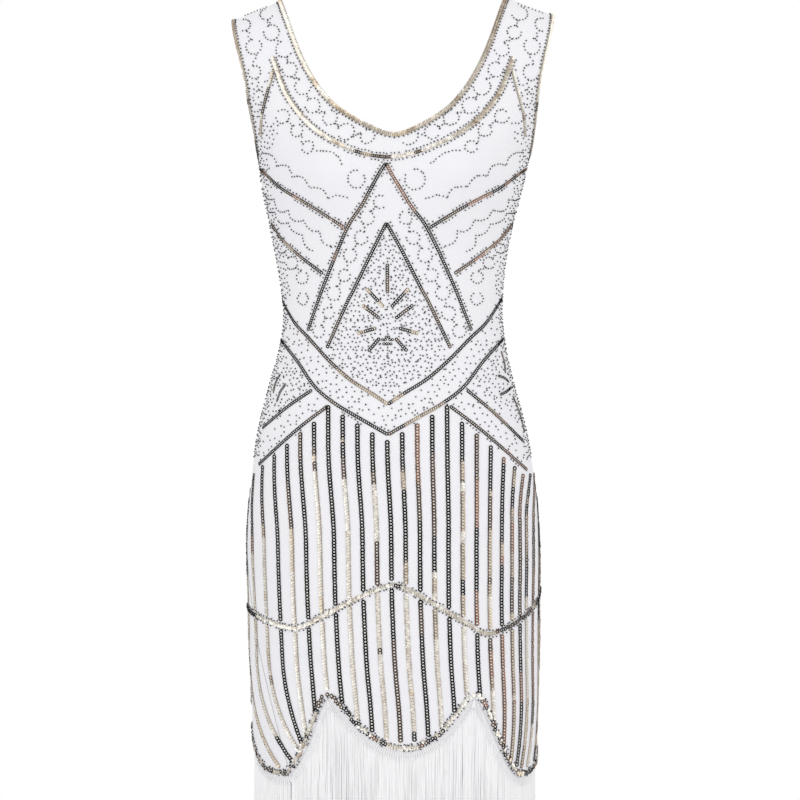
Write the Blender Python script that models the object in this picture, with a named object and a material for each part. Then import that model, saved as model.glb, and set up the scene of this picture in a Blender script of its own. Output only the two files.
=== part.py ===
"""A sleeveless, knee-length flapper dress, filled out as it is worn, at real size.

Frame: +Z up, the front faces -Y and the wearer's left is +X. The origin lies midway between the
shoulder straps, at the height of the shoulder seams' neck ends, where the wearer's shoulders carry
the dress, so all of the cloth hangs below it.

Everything lies on one surface. It is lofted through SECTIONS, which run from the hem up to the
shoulder seams. A place on it is a turn, in degrees round from the centre front towards the wearer's
left, and a level, which counts the sections. Each piece is a patch of that surface given a
thickness, and what is sewn on a panel is a patch of the same surface moved out.
"""

import math
import random
from types import SimpleNamespace

import bmesh
import bpy
from mathutils import Vector

MM = 0.001

# Cloth and trims
CLOTH = 1.5 * MM  # lined mesh, the wall of both panels
SEAM_GAP = 0.3 * MM  # between pieces that are sewn together
TRIM_THICK = 1.0 * MM  # sequinned bands
TRIM_GAP = 0.5 * MM  # between a band and the cloth it lies on
NECK_BAND = 6.5 * MM  # width of the band round the neck
ARMHOLE_BAND = 5.0 * MM
WAVE_BAND = 8.0 * MM  # the band that waves round the skirt
HEM_BAND = 8.0 * MM  # the band above the scalloped hem

# The dress from the hem up. height and half_width are those of the section's side: its side seam,
# or above the underarm its armhole edge. aside is how far its middle lies towards the wearer's left.
# front and back are the depths before and behind the side seams. round is the section's exponent, 2
# for an ellipse and more for flatter sides. armhole is how far the armhole edge has come away from
# the side seam, as a share of the depth. rise is how much the section climbs per metre from the side
# towards the neck.
COLUMNS = ("height", "half_width", "aside", "front", "back", "round", "armhole", "rise")
SECTIONS = (
    (-0.9000, 0.1622, 0.0025, 0.1000, 0.0980, 2.2, 0.00, 0.00),
    (-0.8000, 0.1654, 0.0022, 0.1020, 0.1020, 2.2, 0.00, 0.00),
    (-0.7000, 0.1675, 0.0012, 0.1030, 0.1090, 2.2, 0.00, 0.00),
    (-0.6300, 0.1688, 0.0004, 0.1030, 0.1140, 2.2, 0.00, 0.00),  # hips
    (-0.5600, 0.1635, 0.0000, 0.1010, 0.1130, 2.2, 0.00, 0.00),
    (-0.5000, 0.1546, -0.0008, 0.0970, 0.1060, 2.2, 0.00, 0.00),
    (-0.4500, 0.1418, -0.0014, 0.0920, 0.0970, 2.2, 0.00, 0.00),
    (-0.4100, 0.1315, -0.0004, 0.0885, 0.0890, 2.2, 0.00, 0.00),
    (-0.3700, 0.1258, 0.0000, 0.0865, 0.0835, 2.2, 0.00, 0.00),  # waist
    (-0.3300, 0.1283, -0.0012, 0.0870, 0.0825, 2.2, 0.00, 0.00),
    (-0.2900, 0.1344, -0.0022, 0.0910, 0.0850, 2.3, 0.00, 0.00),
    (-0.2500, 0.1431, -0.0016, 0.0975, 0.0880, 2.4, 0.00, 0.00),
    (-0.2150, 0.1508, -0.0004, 0.1020, 0.0902, 2.6, 0.00, 0.00),  # bust
    (-0.1980, 0.1536, 0.0004, 0.1028, 0.0910, 2.7, 0.00, 0.00),
    (-0.1840, 0.1558, 0.0012, 0.1030, 0.0915, 2.8, 0.00, 0.00),  # underarm
    (-0.1745, 0.1572, 0.0016, 0.1027, 0.0916, 2.85, 0.267, 0.01),
    (-0.1560, 0.1596, 0.0018, 0.1005, 0.0910, 2.9, 0.45, 0.04),
    (-0.1300, 0.1636, 0.0004, 0.0940, 0.0880, 2.9, 0.585, 0.10),
    (-0.1000, 0.1687, 0.0000, 0.0825, 0.0805, 2.8, 0.70, 0.17),
    (-0.0700, 0.1760, 0.0000, 0.0665, 0.0690, 2.7, 0.777, 0.25),
    (-0.0450, 0.1820, 0.0000, 0.0480, 0.0530, 2.5, 0.83, 0.32),
    (-0.0300, 0.1848, 0.0000, 0.0270, 0.0310, 2.3, 0.85, 0.37),
    (-0.0235, 0.1858, 0.0000, 0.0000, 0.0000, 2.2, 0.86, 0.40),  # shoulder seam
)
UNDERARM = 14  # level of the underarm, an index into SECTIONS
SHOULDER = len(SECTIONS) - 1

# Fullness from the bust darts, a soft swell of the front on each side
DART_SWELL = 13.0 * MM
DART_X, DART_Z = 0.072, -0.205
DART_WIDE, DART_TALL = 0.046, 0.052

# The left shoulder is carried a little higher: height gained per metre of x, fading out downwards
LEAN = 0.018
LEAN_FOOT = -0.370
# The hem has turned a little to the wearer's left: degrees at TURN_FOOT, none at TURN_TOP
HEM_TURN = 3.8
TURN_TOP, TURN_FOOT = -0.68, -0.86
# The right side seam swings forward towards the hem: degrees at PULL_FOOT, none at PULL_TOP
SEAM_PULL = 38.0
PULL_TOP, PULL_FOOT = -0.600, -0.875

# Half width and height of the neck edge, from its lowest point up to the shoulder seams
NECK_FRONT = (
    (0.000, -0.1651),
    (0.033, -0.1530),
    (0.052, -0.1413),
    (0.067, -0.1290),
    (0.085, -0.1055),
    (0.104, -0.0680),
    (0.128, 0.0000),
)
NECK_BACK = (
    (0.000, -0.2150),
    (0.034, -0.2060),
    (0.060, -0.1890),
    (0.093, -0.1500),
    (0.113, -0.0850),
    (0.128, 0.0000),
)

# Scalloped hem: turn and height of peaks and low points by turns, all round
HEM = (
    (-150.0, -0.801),
    (-123.0, -0.884),
    (-97.0, -0.843),
    (-56.0, -0.890),
    (-30.0, -0.799),
    (0.0, -0.857),
    (30.0, -0.799),
    (58.6, -0.8925),
    (108.0, -0.843),
    (129.0, -0.884),
    (150.0, -0.801),
    (180.0, -0.855),
    (210.0, -0.801),
)
SCALLOP_POWER = 2.05  # 1 would make zigzags, 2 parabolas
PEAK_ROUND = 0.12  # rounding of a peak, as a share of half a scallop

# The wave round the skirt: turn and height of crests and low points by turns, all round
WAVE = (
    (-97.0, -0.6990),
    (-42.0, -0.7207),
    (0.0, -0.6705),
    (39.0, -0.7270),
    (95.0, -0.6810),
    (139.0, -0.7275),
    (180.0, -0.6735),
    (221.0, -0.7275),
    (263.0, -0.6990),
)
WAVE_CORNER = 0.96  # 1 would give sharp corners

# Fringe: a header tape behind the hem edge, and strands that hang plumb from its lower edge
STRAND_PITCH = 4.6 * MM
STRAND_WIDE = 1.7 * MM
STRAND_LONG = 125.0 * MM
STRAND_SWAY = 1.0 * MM
HEADER_LAP = 5.0 * MM  # how far the tape reaches up behind the hem
HEADER_DROP = 9.0 * MM  # how far it shows below the hem
TAPE_THICK = 1.0 * MM
TAPE_GAP = 0.9 * MM

# Mesh density
HALF_COLUMNS = 14  # stations from the centre to a side seam
WRAP_COLUMNS = 6  # more of them where the back panel follows its seam round to the front
HEM_ROWS = (0.0, 0.2, 0.45, 0.7)  # shares of the way from the scalloped edge up to HEM_ROWS_TOP
HEM_ROWS_TOP = 2  # level where the rows run level again
NECK_ROWS = (0.0, 0.07, 0.2, 0.38, 0.62, 0.8)  # extra levels above the foot of the neck opening
ARMHOLE_ROWS = (0.0, 0.25, 0.5, 0.75, 1.5, 2.5, 3.5)  # extra levels above the underarm
LEAST_STEP = 0.12  # levels between two rows
WAVE_STATIONS, HEM_STATIONS = 64, 96

PALETTE = {
    "cloth": ((0.86, 0.855, 0.87, 1.0), 0.75, 0.0),
    "sequin_band": ((0.62, 0.52, 0.38, 1.0), 0.32, 0.8),
    "fringe": ((0.88, 0.875, 0.885, 1.0), 0.6, 0.0),
}


def smooth_blend(before, start, end, after, share):
    """Catmull-Rom between start and end."""
    slope_in, slope_out = (end - before) / 2, (after - start) / 2
    bend = 3 * (end - start) - 2 * slope_in - slope_out
    twist = slope_in + slope_out - 2 * (end - start)
    return start + share * (slope_in + share * (bend + share * twist))


def bisect(is_low, low, high):
    for _ in range(36):
        middle = (low + high) / 2
        low, high = (middle, high) if is_low(middle) else (low, middle)
    return (low + high) / 2


def fade(value, start, end):
    """0 before start, 1 after end, smooth between."""
    share = min(max((value - start) / (end - start), 0.0), 1.0)
    return share * share * (3 - 2 * share)


def section(level):
    """The dress's section at a level, with every column of SECTIONS blended smoothly."""
    low = min(int(level), SHOULDER - 1)
    rows = [SECTIONS[min(max(low + step, 0), SHOULDER)] for step in (-1, 0, 1, 2)]
    values = [smooth_blend(*column, level - low) for column in zip(*rows)]
    cut = SimpleNamespace(**dict(zip(COLUMNS, values)))
    cut.armhole = max(cut.armhole, 0.0)
    return cut


def partner(cut, share):
    """The other coordinate on the section, as shares of its width and depth: 1 gives 0 and 0 gives 1."""
    return max(1 - abs(share) ** cut.round, 0.0) ** (1 / cut.round)


def point_at(turn, level):
    cut = section(level)
    turned = math.radians(turn + HEM_TURN * fade(-cut.height, -TURN_TOP, -TURN_FOOT))
    across = cut.half_width / partner(cut, cut.armhole) * math.sin(turned)
    is_front = math.cos(turned) > 0
    depth = (cut.front if is_front else cut.back) * partner(cut, math.sin(turned))
    z = cut.height + cut.rise * (cut.half_width - abs(across))
    if is_front:
        beside, above = (abs(across) - DART_X) / DART_WIDE, (z - DART_Z) / DART_TALL
        depth += DART_SWELL * math.exp(-beside * beside - above * above)
    z += LEAN * across * fade(z, LEAN_FOOT, 0.0)
    return Vector((cut.aside + across, -depth if is_front else depth, z))


def steps_at(turn, level):
    """How the point moves for one degree and for one level."""
    turn_step, low, high = 0.2, max(level - 0.02, 0.0), min(level + 0.02, float(SHOULDER))
    along = (point_at(turn + turn_step, level) - point_at(turn - turn_step, level)) / (2 * turn_step)
    return along, (point_at(turn, high) - point_at(turn, low)) / (high - low)


def station(turn, level):
    """A point of the surface and its outward normal, which is upright across the shoulder seam."""
    along, up = steps_at(turn, level)
    normal = along.cross(up)
    if level == SHOULDER:
        normal.y = 0.0
    return point_at(turn, level), normal.normalized()


def shifted(turn, level, shift):
    """The place on the surface that lies a short vector away."""
    along, up = steps_at(turn, level)
    mixed = along.dot(up)
    scale = along.length_squared * up.length_squared - mixed * mixed
    turn_step = (shift.dot(along) * up.length_squared - shift.dot(up) * mixed) / scale
    level_step = (shift.dot(up) * along.length_squared - shift.dot(along) * mixed) / scale
    return turn + turn_step, min(level + level_step, float(SHOULDER))


def level_at(height):
    """The level whose section stands at this height, where sections run level."""
    return bisect(lambda level: section(level).height < height, 0.0, float(SHOULDER))


def neck_half_width(outline, height):
    """Half width of the neck opening at a height, 0 below its lowest point."""
    if height <= outline[0][1]:
        return 0.0
    first = (-outline[1][0], outline[1][1])
    last = tuple(2 * end - before for before, end in zip(outline[-2], outline[-1]))
    knots = (first, *outline, last)

    def edge(place, column):
        knot = min(int(place), len(outline) - 2)
        return smooth_blend(*(knots[knot + step][column] for step in range(4)), place - knot)

    return edge(bisect(lambda place: edge(place, 1) < height, 0.0, len(outline) - 1.0), 0)


def neck_turn(outline, level):
    """How far round from the centre the neck edge is at a level, in degrees."""
    cut = section(level)

    def is_in_opening(half):
        return half < neck_half_width(outline, cut.height + cut.rise * (cut.half_width - half))

    half = bisect(is_in_opening, 0.0, cut.half_width)
    return math.degrees(math.asin(half * partner(cut, cut.armhole) / cut.half_width))


def neck_foot(outline):
    """The level of the lowest point of the neck edge."""
    return bisect(lambda level: point_at(0.0, level).z < outline[0][1], 0.0, float(SHOULDER))


def edge_turn(level):
    """How far round from the centre the side seam or armhole edge is at a level, in degrees."""
    cut = section(level)
    return math.degrees(math.asin(partner(cut, cut.armhole)))


def seam_span(middle, side, height):
    """Degrees from a panel's middle to its side seam."""
    pull = SEAM_PULL * min(max((PULL_TOP - height) / (PULL_TOP - PULL_FOOT), 0.0), 1.1)
    is_pulled = (middle == 0) == (side < 0)
    return 90 + (pull if middle else -pull) * is_pulled


def stretch_at(table, turn):
    """The two neighbours in a table of turns and heights, and the share of the way between them."""
    turn = (turn - table[0][0]) % 360 + table[0][0]
    before, after = next(pair for pair in zip(table, table[1:]) if turn <= pair[1][0])
    return before[1], after[1], (turn - before[0]) / (after[0] - before[0])


def hem_height(turn):
    """Height of the scalloped edge."""
    start, end, share = stretch_at(HEM, turn)
    if start > end:
        start, end, share = end, start, 1 - share
    climb = (max(1 - math.hypot(1 - share, PEAK_ROUND), 0.0) / (1 - PEAK_ROUND)) ** SCALLOP_POWER
    return start + (end - start) * climb


def wave_height(turn):
    """A zigzag with rounded corners."""
    start, end, share = stretch_at(WAVE, turn)
    swing = math.asin(WAVE_CORNER * math.cos(math.pi * share)) / math.asin(WAVE_CORNER)
    return (start + end) / 2 + (start - end) / 2 * swing


def hem_place(middle, side, across, up):
    """Turn and height at shares of the way across from a panel's middle and up to HEM_ROWS_TOP."""
    top = SECTIONS[HEM_ROWS_TOP][0]
    height = HEM[0][1]
    for _ in range(20):
        turn = middle + side * across * seam_span(middle, side, height)
        height = hem_height(turn) + up * (top - hem_height(turn))
    return turn, height


def strand_turns(start, end):
    """Turns that are about STRAND_PITCH apart along the hem, as seen from above."""
    samples = [start + (end - start) * i / 720 for i in range(721)]
    points = [point_at(turn, level_at(HEM[0][1])) for turn in samples]
    lengths = [0.0]
    for before, after in zip(points, points[1:]):
        lengths.append(lengths[-1] + (after - before).length)
    count = round(lengths[-1] / STRAND_PITCH)
    turns, sample = [], 0
    for i in range(count + 1):
        wanted = lengths[-1] * i / count
        while sample < 719 and lengths[sample + 1] < wanted:
            sample += 1
        share = (wanted - lengths[sample]) / (lengths[sample + 1] - lengths[sample])
        turns.append(samples[sample] + share * (samples[1] - samples[0]))
    return turns


def mesh_object(name, bm, finish):
    mesh = bpy.data.meshes.new(name)
    bm.to_mesh(mesh)
    bm.free()
    mesh.shade_smooth()
    mesh.set_sharp_from_angle(angle=math.radians(40))
    mesh.materials.append(finishes[finish])
    parts.objects.link(bpy.data.objects.new(name, mesh))


def thick_patch(grids, inner, outer):
    """Closed walls on grids of stations, from inner to outer along the normals.

    A grid's rows run upwards and each row runs towards the wearer's left, so that faces point out.
    Stations at one place are one corner. It returns the mesh and a function that gives a station's
    outer and inner vertex.
    """
    bm = bmesh.new()
    corners, sides = {}, {}

    def corner(place):
        point, normal = place
        key = tuple(round(value, 7) for value in point)
        if key not in corners:
            corners[key] = bm.verts.new(point + normal * outer), bm.verts.new(point + normal * inner)
        return corners[key]

    for rows in grids:
        for lower, upper in zip(rows, rows[1:]):
            for i in range(len(lower) - 1):
                ring = [corner(place) for place in (lower[i], lower[i + 1], upper[i + 1], upper[i])]
                ring = [pair for n, pair in enumerate(ring) if pair is not ring[n - 1]]
                bm.faces.new([pair[0] for pair in ring])
                bm.faces.new([pair[1] for pair in reversed(ring)])
                for start, end in zip(ring, ring[1:] + ring[:1]):
                    sides[start[0], end[0]] = start, end
    for (first, second), (start, end) in sides.items():
        if (second, first) not in sides:
            bm.faces.new((end[0], start[0], start[1], end[1]))
    return bm, corner


def column_count(middle, side):
    """Stations on one half of a panel. The right half of the back reaches the furthest round."""
    return HALF_COLUMNS + (WRAP_COLUMNS if middle and side > 0 else 0)


def half_row(middle, outline, level, side):
    """Stations at one level from the centre or the neck edge out to the side seam or armhole edge."""
    near, far = neck_turn(outline, level), edge_turn(level)
    if level <= UNDERARM:
        far = seam_span(middle, side, section(level).height)
    count = column_count(middle, side)
    turns = [middle + side * (near + (far - near) * i / count) for i in range(count + 1)]
    row = [station(turn, level) for turn in turns]
    if level <= UNDERARM:
        row[-1] = drawn_in(row[-1], row[-2])
    if level == SHOULDER:
        gap = Vector((0.0, SEAM_GAP / 2 if middle else -SEAM_GAP / 2, 0.0))
        row = [(point + gap, normal) for point, normal in row]
    return row


def drawn_in(end, beside):
    """The end station of a row, moved half the seam gap towards the one beside it."""
    return end[0] + (beside[0] - end[0]).normalized() * SEAM_GAP / 2, end[1]


def row_levels(outline):
    """Levels of a panel's rows above the hem rows. Rows at a foot of an opening come first."""
    foot = neck_foot(outline)
    wanted = [foot, float(UNDERARM), float(SHOULDER)]
    wanted += [foot + step for step in NECK_ROWS]
    wanted += [UNDERARM + step for step in ARMHOLE_ROWS]
    wanted += [float(level) for level in range(HEM_ROWS_TOP, SHOULDER)]
    kept = []
    for level in wanted:
        least = 0.05 if level < foot + 0.3 else LEAST_STEP
        if all(abs(level - other) > least for other in kept):
            kept.append(level)
    return sorted(kept)


def add_panel(name, middle, outline):
    """A panel from side seam to side seam. middle is the turn of its centre."""
    rows = []
    for up in HEM_ROWS:
        row = []
        for column in range(-column_count(middle, -1), column_count(middle, 1) + 1):
            side = -1 if column < 0 else 1
            turn, height = hem_place(middle, side, abs(column) / column_count(middle, side), up)
            row.append(station(turn, level_at(height)))
        rows.append([drawn_in(row[0], row[1]), *row[1:-1], drawn_in(row[-1], row[-2])])
    levels = row_levels(outline)
    below = [level for level in levels if level <= neck_foot(outline)]
    for level in below:
        right, left = (half_row(middle, outline, level, side) for side in (-1, 1))
        rows.append([*reversed(right), *left[1:]])
    straps = [level for level in levels if level >= below[-1]]
    left = [half_row(middle, outline, level, 1) for level in straps]
    right = [half_row(middle, outline, level, -1)[::-1] for level in straps]
    mesh_object(name, thick_patch([rows, left, right], -CLOTH, 0.0)[0], "cloth")


def add_band(name, places, width, both_sides=False):
    """A closed band on the cloth, to the right of its run of places as seen from outside."""
    ring = [point_at(*place) for place in places]
    edges = [[], []]
    for i, place in enumerate(places):
        run = ring[(i + 1) % len(ring)] - ring[i - 1]
        away = run.cross(station(*place)[1]).normalized() * width
        near = shifted(*place, -away / 2) if both_sides else place
        edges[0].append(station(*near))
        edges[1].append(station(*shifted(*place, away / 2 if both_sides else away)))
    for edge in edges:
        edge.append(edge[0])
    mesh_object(name, thick_patch([edges[::-1]], TRIM_GAP, TRIM_GAP + TRIM_THICK)[0], "sequin_band")


def levels_above(outline, foot):
    return [level for level in row_levels(outline) if level > foot + LEAST_STEP / 10]


def add_neck_trim():
    front_foot, back_foot = neck_foot(NECK_FRONT), neck_foot(NECK_BACK)
    front = [(neck_turn(NECK_FRONT, level), level) for level in levels_above(NECK_FRONT, front_foot)]
    back = [(180 - neck_turn(NECK_BACK, level), level) for level in levels_above(NECK_BACK, back_foot)]
    left = [*front, *back[-2::-1]]
    right = [(-turn, level) for turn, level in reversed(left)]
    add_band("neck_trim", [(0.0, front_foot), *left, (180.0, back_foot), *right], NECK_BAND)


def add_armhole_trims():
    front = [(edge_turn(level), level) for level in levels_above(NECK_FRONT, UNDERARM)]
    back = [(180 - edge_turn(level), level) for level in levels_above(NECK_BACK, UNDERARM)]
    ring = [(90.0, float(UNDERARM)), *front, *back[-2::-1]]
    add_band("armhole_trim_left", ring[::-1], ARMHOLE_BAND)
    add_band("armhole_trim_right", [(-turn, level) for turn, level in ring], ARMHOLE_BAND)


def add_skirt_trims():
    turns = [360 * i / WAVE_STATIONS for i in range(WAVE_STATIONS)]
    add_band("wave_trim", [(turn, level_at(wave_height(turn))) for turn in turns], WAVE_BAND, both_sides=True)
    turns = [360 * i / HEM_STATIONS for i in range(HEM_STATIONS)]
    add_band("hem_trim", [(turn, level_at(hem_height(turn))) for turn in reversed(turns)], HEM_BAND)


def add_fringe(name, middle):
    """Every other stretch of the header tape's lower edge is drawn down into a strand."""
    dice = random.Random(name)
    turns = strand_turns(hem_place(middle, -1, 1.0, 0.0)[0], hem_place(middle, 1, 1.0, 0.0)[0])
    spacing = (point_at(turns[1], 0.0) - point_at(turns[0], 0.0)).length
    share = STRAND_WIDE / spacing / 2
    stops = [turns[0]]
    for start, end in zip(turns, turns[1:]):
        stops += [start + (end - start) * (0.5 - share), start + (end - start) * (0.5 + share)]
    stops.append(turns[-1])
    rows = []
    for reach in (-HEADER_DROP, HEADER_LAP):
        row = [station(turn, level_at(hem_height(turn) + reach)) for turn in stops]
        rows.append([drawn_in(row[0], row[1]), *row[1:-1], drawn_in(row[-1], row[-2])])
    outer = -CLOTH - TAPE_GAP
    bm, corner = thick_patch([rows], outer - TAPE_THICK, outer)
    pairs = [(corner(start), corner(end)) for start, end in zip(rows[0][1::2], rows[0][2::2])]
    roots = [bm.faces.get((start[0], end[0], end[1], start[1])) for start, end in pairs]
    for face in bmesh.ops.extrude_discrete_faces(bm, faces=roots)["faces"]:
        sway = Vector((dice.uniform(-1, 1), dice.uniform(-0.5, 0.5), 0.0)) * STRAND_SWAY
        bmesh.ops.translate(bm, verts=face.verts, vec=sway - Vector((0.0, 0.0, STRAND_LONG)))
    mesh_object(name, bm, "fringe")


def make_finish(name, colour, roughness, metallic):
    material = bpy.data.materials.new(name)
    material.use_nodes = True
    shader = material.node_tree.nodes["Principled BSDF"]
    shader.inputs["Base Color"].default_value = colour
    shader.inputs["Roughness"].default_value = roughness
    shader.inputs["Metallic"].default_value = metallic
    return material


for old in list(bpy.data.objects):
    bpy.data.objects.remove(old, do_unlink=True)
parts = bpy.data.collections.new("flapper_dress")
bpy.context.scene.collection.children.link(parts)
finishes = {name: make_finish(name, *look) for name, look in PALETTE.items()}

add_panel("front_panel", 0.0, NECK_FRONT)
add_panel("back_panel", 180.0, NECK_BACK)
add_neck_trim()
add_armhole_trims()
add_skirt_trims()
add_fringe("fringe_front", 0.0)
add_fringe("fringe_back", 180.0)
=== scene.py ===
import math
from types import SimpleNamespace

import bmesh
import bpy
import numpy as np
from mathutils import Matrix, Vector
from mathutils.kdtree import KDTree


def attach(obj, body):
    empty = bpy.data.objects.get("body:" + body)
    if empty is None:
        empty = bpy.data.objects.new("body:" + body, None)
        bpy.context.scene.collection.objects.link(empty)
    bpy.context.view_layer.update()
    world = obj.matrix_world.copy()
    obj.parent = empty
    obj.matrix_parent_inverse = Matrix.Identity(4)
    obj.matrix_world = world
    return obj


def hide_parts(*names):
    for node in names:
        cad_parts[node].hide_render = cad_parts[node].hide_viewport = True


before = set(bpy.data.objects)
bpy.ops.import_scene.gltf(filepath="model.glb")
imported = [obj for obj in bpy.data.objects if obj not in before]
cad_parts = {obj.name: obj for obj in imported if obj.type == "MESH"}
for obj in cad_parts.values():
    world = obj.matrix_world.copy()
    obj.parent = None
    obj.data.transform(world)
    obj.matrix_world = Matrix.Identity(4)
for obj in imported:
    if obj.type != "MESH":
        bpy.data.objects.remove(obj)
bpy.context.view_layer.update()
mm = 0.001

# Places on the dress are a turn, in degrees round from the centre front towards the wearer's left,
# and a level, which counts the sections upwards. Everything sewn on is placed that way.

body = {
    "columns": ("height", "halfWidth", "aside", "front", "back", "round", "armhole", "rise"),
    "sections": (
        (-0.9000, 0.1622, 0.0025, 0.1000, 0.0980, 2.2, 0.00, 0.00),
        (-0.8000, 0.1654, 0.0022, 0.1020, 0.1020, 2.2, 0.00, 0.00),
        (-0.7000, 0.1675, 0.0012, 0.1030, 0.1090, 2.2, 0.00, 0.00),
        (-0.6300, 0.1688, 0.0004, 0.1030, 0.1140, 2.2, 0.00, 0.00),  # hips
        (-0.5600, 0.1635, 0.0000, 0.1010, 0.1130, 2.2, 0.00, 0.00),
        (-0.5000, 0.1546, -0.0008, 0.0970, 0.1060, 2.2, 0.00, 0.00),
        (-0.4500, 0.1418, -0.0014, 0.0920, 0.0970, 2.2, 0.00, 0.00),
        (-0.4100, 0.1315, -0.0004, 0.0885, 0.0890, 2.2, 0.00, 0.00),
        (-0.3700, 0.1258, 0.0000, 0.0865, 0.0835, 2.2, 0.00, 0.00),  # waist
        (-0.3300, 0.1283, -0.0012, 0.0870, 0.0825, 2.2, 0.00, 0.00),
        (-0.2900, 0.1344, -0.0022, 0.0910, 0.0850, 2.3, 0.00, 0.00),
        (-0.2500, 0.1431, -0.0016, 0.0975, 0.0880, 2.4, 0.00, 0.00),
        (-0.2150, 0.1508, -0.0004, 0.1020, 0.0902, 2.6, 0.00, 0.00),  # bust
        (-0.1980, 0.1536, 0.0004, 0.1028, 0.0910, 2.7, 0.00, 0.00),
        (-0.1840, 0.1558, 0.0012, 0.1030, 0.0915, 2.8, 0.00, 0.00),  # underarm
        (-0.1745, 0.1572, 0.0016, 0.1027, 0.0916, 2.85, 0.267, 0.01),
        (-0.1560, 0.1596, 0.0018, 0.1005, 0.0910, 2.9, 0.45, 0.04),
        (-0.1300, 0.1636, 0.0004, 0.0940, 0.0880, 2.9, 0.585, 0.10),
        (-0.1000, 0.1687, 0.0000, 0.0825, 0.0805, 2.8, 0.70, 0.17),
        (-0.0700, 0.1760, 0.0000, 0.0665, 0.0690, 2.7, 0.777, 0.25),
        (-0.0450, 0.1820, 0.0000, 0.0480, 0.0530, 2.5, 0.83, 0.32),
        (-0.0300, 0.1848, 0.0000, 0.0270, 0.0310, 2.3, 0.85, 0.37),
        (-0.0235, 0.1858, 0.0000, 0.0000, 0.0000, 2.2, 0.86, 0.40),  # shoulder seam
    ),
    "underarm": 14,
    "dart": {"swell": 13 * mm, "x": 0.072, "z": -0.205, "wide": 0.046, "tall": 0.052},
    "lean": 0.018,  # the left shoulder is carried a little higher
    "leanFoot": -0.370,
    "hemTurn": 3.8,  # degrees
    "turnTop": -0.68,
    "turnFoot": -0.86,
    "neckFront": (
        (0.000, -0.1651),
        (0.033, -0.1530),
        (0.052, -0.1413),
        (0.067, -0.1290),
        (0.085, -0.1055),
        (0.104, -0.0680),
        (0.128, 0.0000),
    ),
    "neckBack": (
        (0.000, -0.2150),
        (0.034, -0.2060),
        (0.060, -0.1890),
        (0.093, -0.1500),
        (0.113, -0.0850),
        (0.128, 0.0000),
    ),
    "hem": (
        (-150.0, -0.801),
        (-123.0, -0.884),
        (-97.0, -0.843),
        (-56.0, -0.890),
        (-30.0, -0.799),
        (0.0, -0.857),
        (30.0, -0.799),
        (58.6, -0.8925),
        (108.0, -0.843),
        (129.0, -0.884),
        (150.0, -0.801),
        (180.0, -0.855),
        (210.0, -0.801),
    ),
    "scallopPower": 2.05,
    "peakRound": 0.12,
    "wave": (
        (-97.0, -0.6990),
        (-42.0, -0.7207),
        (0.0, -0.6705),
        (39.0, -0.7270),
        (95.0, -0.6810),
        (139.0, -0.7275),
        (180.0, -0.6735),
        (221.0, -0.7275),
        (263.0, -0.6990),
    ),
    "waveCorner": 0.96,
}
sections = np.array(body["sections"])
underarm, shoulder = body["underarm"], len(sections) - 1
neckFront, neckBack = body["neckFront"], body["neckBack"]
dice = np.random.default_rng(1926)


def unit(vectors):
    return vectors / np.maximum(np.linalg.norm(vectors, axis=-1, keepdims=True), 1e-12)


def dot(first, second):
    return (first * second).sum(-1, keepdims=True)


def fade(value, start, end):
    share = np.clip((value - start) / (end - start), 0, 1)
    return share * share * (3 - 2 * share)


def hump(value, middle, wide):
    return np.exp(-(((value - middle) / wide) ** 2))


def bisect(isLow, low, high):
    for _ in range(34):
        middle = (low + high) / 2
        found = isLow(middle)
        low, high = np.where(found, middle, low), np.where(found, high, middle)
    return (low + high) / 2


def smoothBlend(before, start, end, after, share):
    slopeIn, slopeOut = (end - before) / 2, (after - start) / 2
    bend = 3 * (end - start) - 2 * slopeIn - slopeOut
    twist = slopeIn + slopeOut - 2 * (end - start)
    return start + share * (slopeIn + share * (bend + share * twist))


def sectionAt(level):
    level = np.clip(np.asarray(level, float), 0, shoulder)
    low = np.minimum(level.astype(int), shoulder - 1)
    rows = [sections[np.clip(low + step, 0, shoulder)] for step in (-1, 0, 1, 2)]
    values = smoothBlend(*rows, (level - low)[..., None])
    cut = SimpleNamespace(**{name: values[..., i] for i, name in enumerate(body["columns"])})
    cut.armhole = np.maximum(cut.armhole, 0)
    return cut


def partner(cut, share):
    return np.maximum(1 - np.abs(share) ** cut.round, 0) ** (1 / cut.round)


def twistAt(height):
    return body["hemTurn"] * fade(-height, -body["turnTop"], -body["turnFoot"])


def heightAt(cut, across):
    z = cut.height + cut.rise * (cut.halfWidth - np.abs(across))
    return z + body["lean"] * across * fade(z, body["leanFoot"], 0)


def bare(turn, level):
    cut, dart = sectionAt(level), body["dart"]
    turned = np.radians(turn + twistAt(cut.height))
    across = cut.halfWidth / partner(cut, cut.armhole) * np.sin(turned)
    isFront = np.cos(turned) > 0
    depth = np.where(isFront, cut.front, cut.back) * partner(cut, np.sin(turned))
    upright = cut.height + cut.rise * (cut.halfWidth - np.abs(across))
    beside, above = (np.abs(across) - dart["x"]) / dart["wide"], (upright - dart["z"]) / dart["tall"]
    depth = depth + np.where(isFront, dart["swell"] * np.exp(-beside * beside - above * above), 0)
    return np.stack([cut.aside + across, np.where(isFront, -depth, depth), heightAt(cut, across)], -1)


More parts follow.
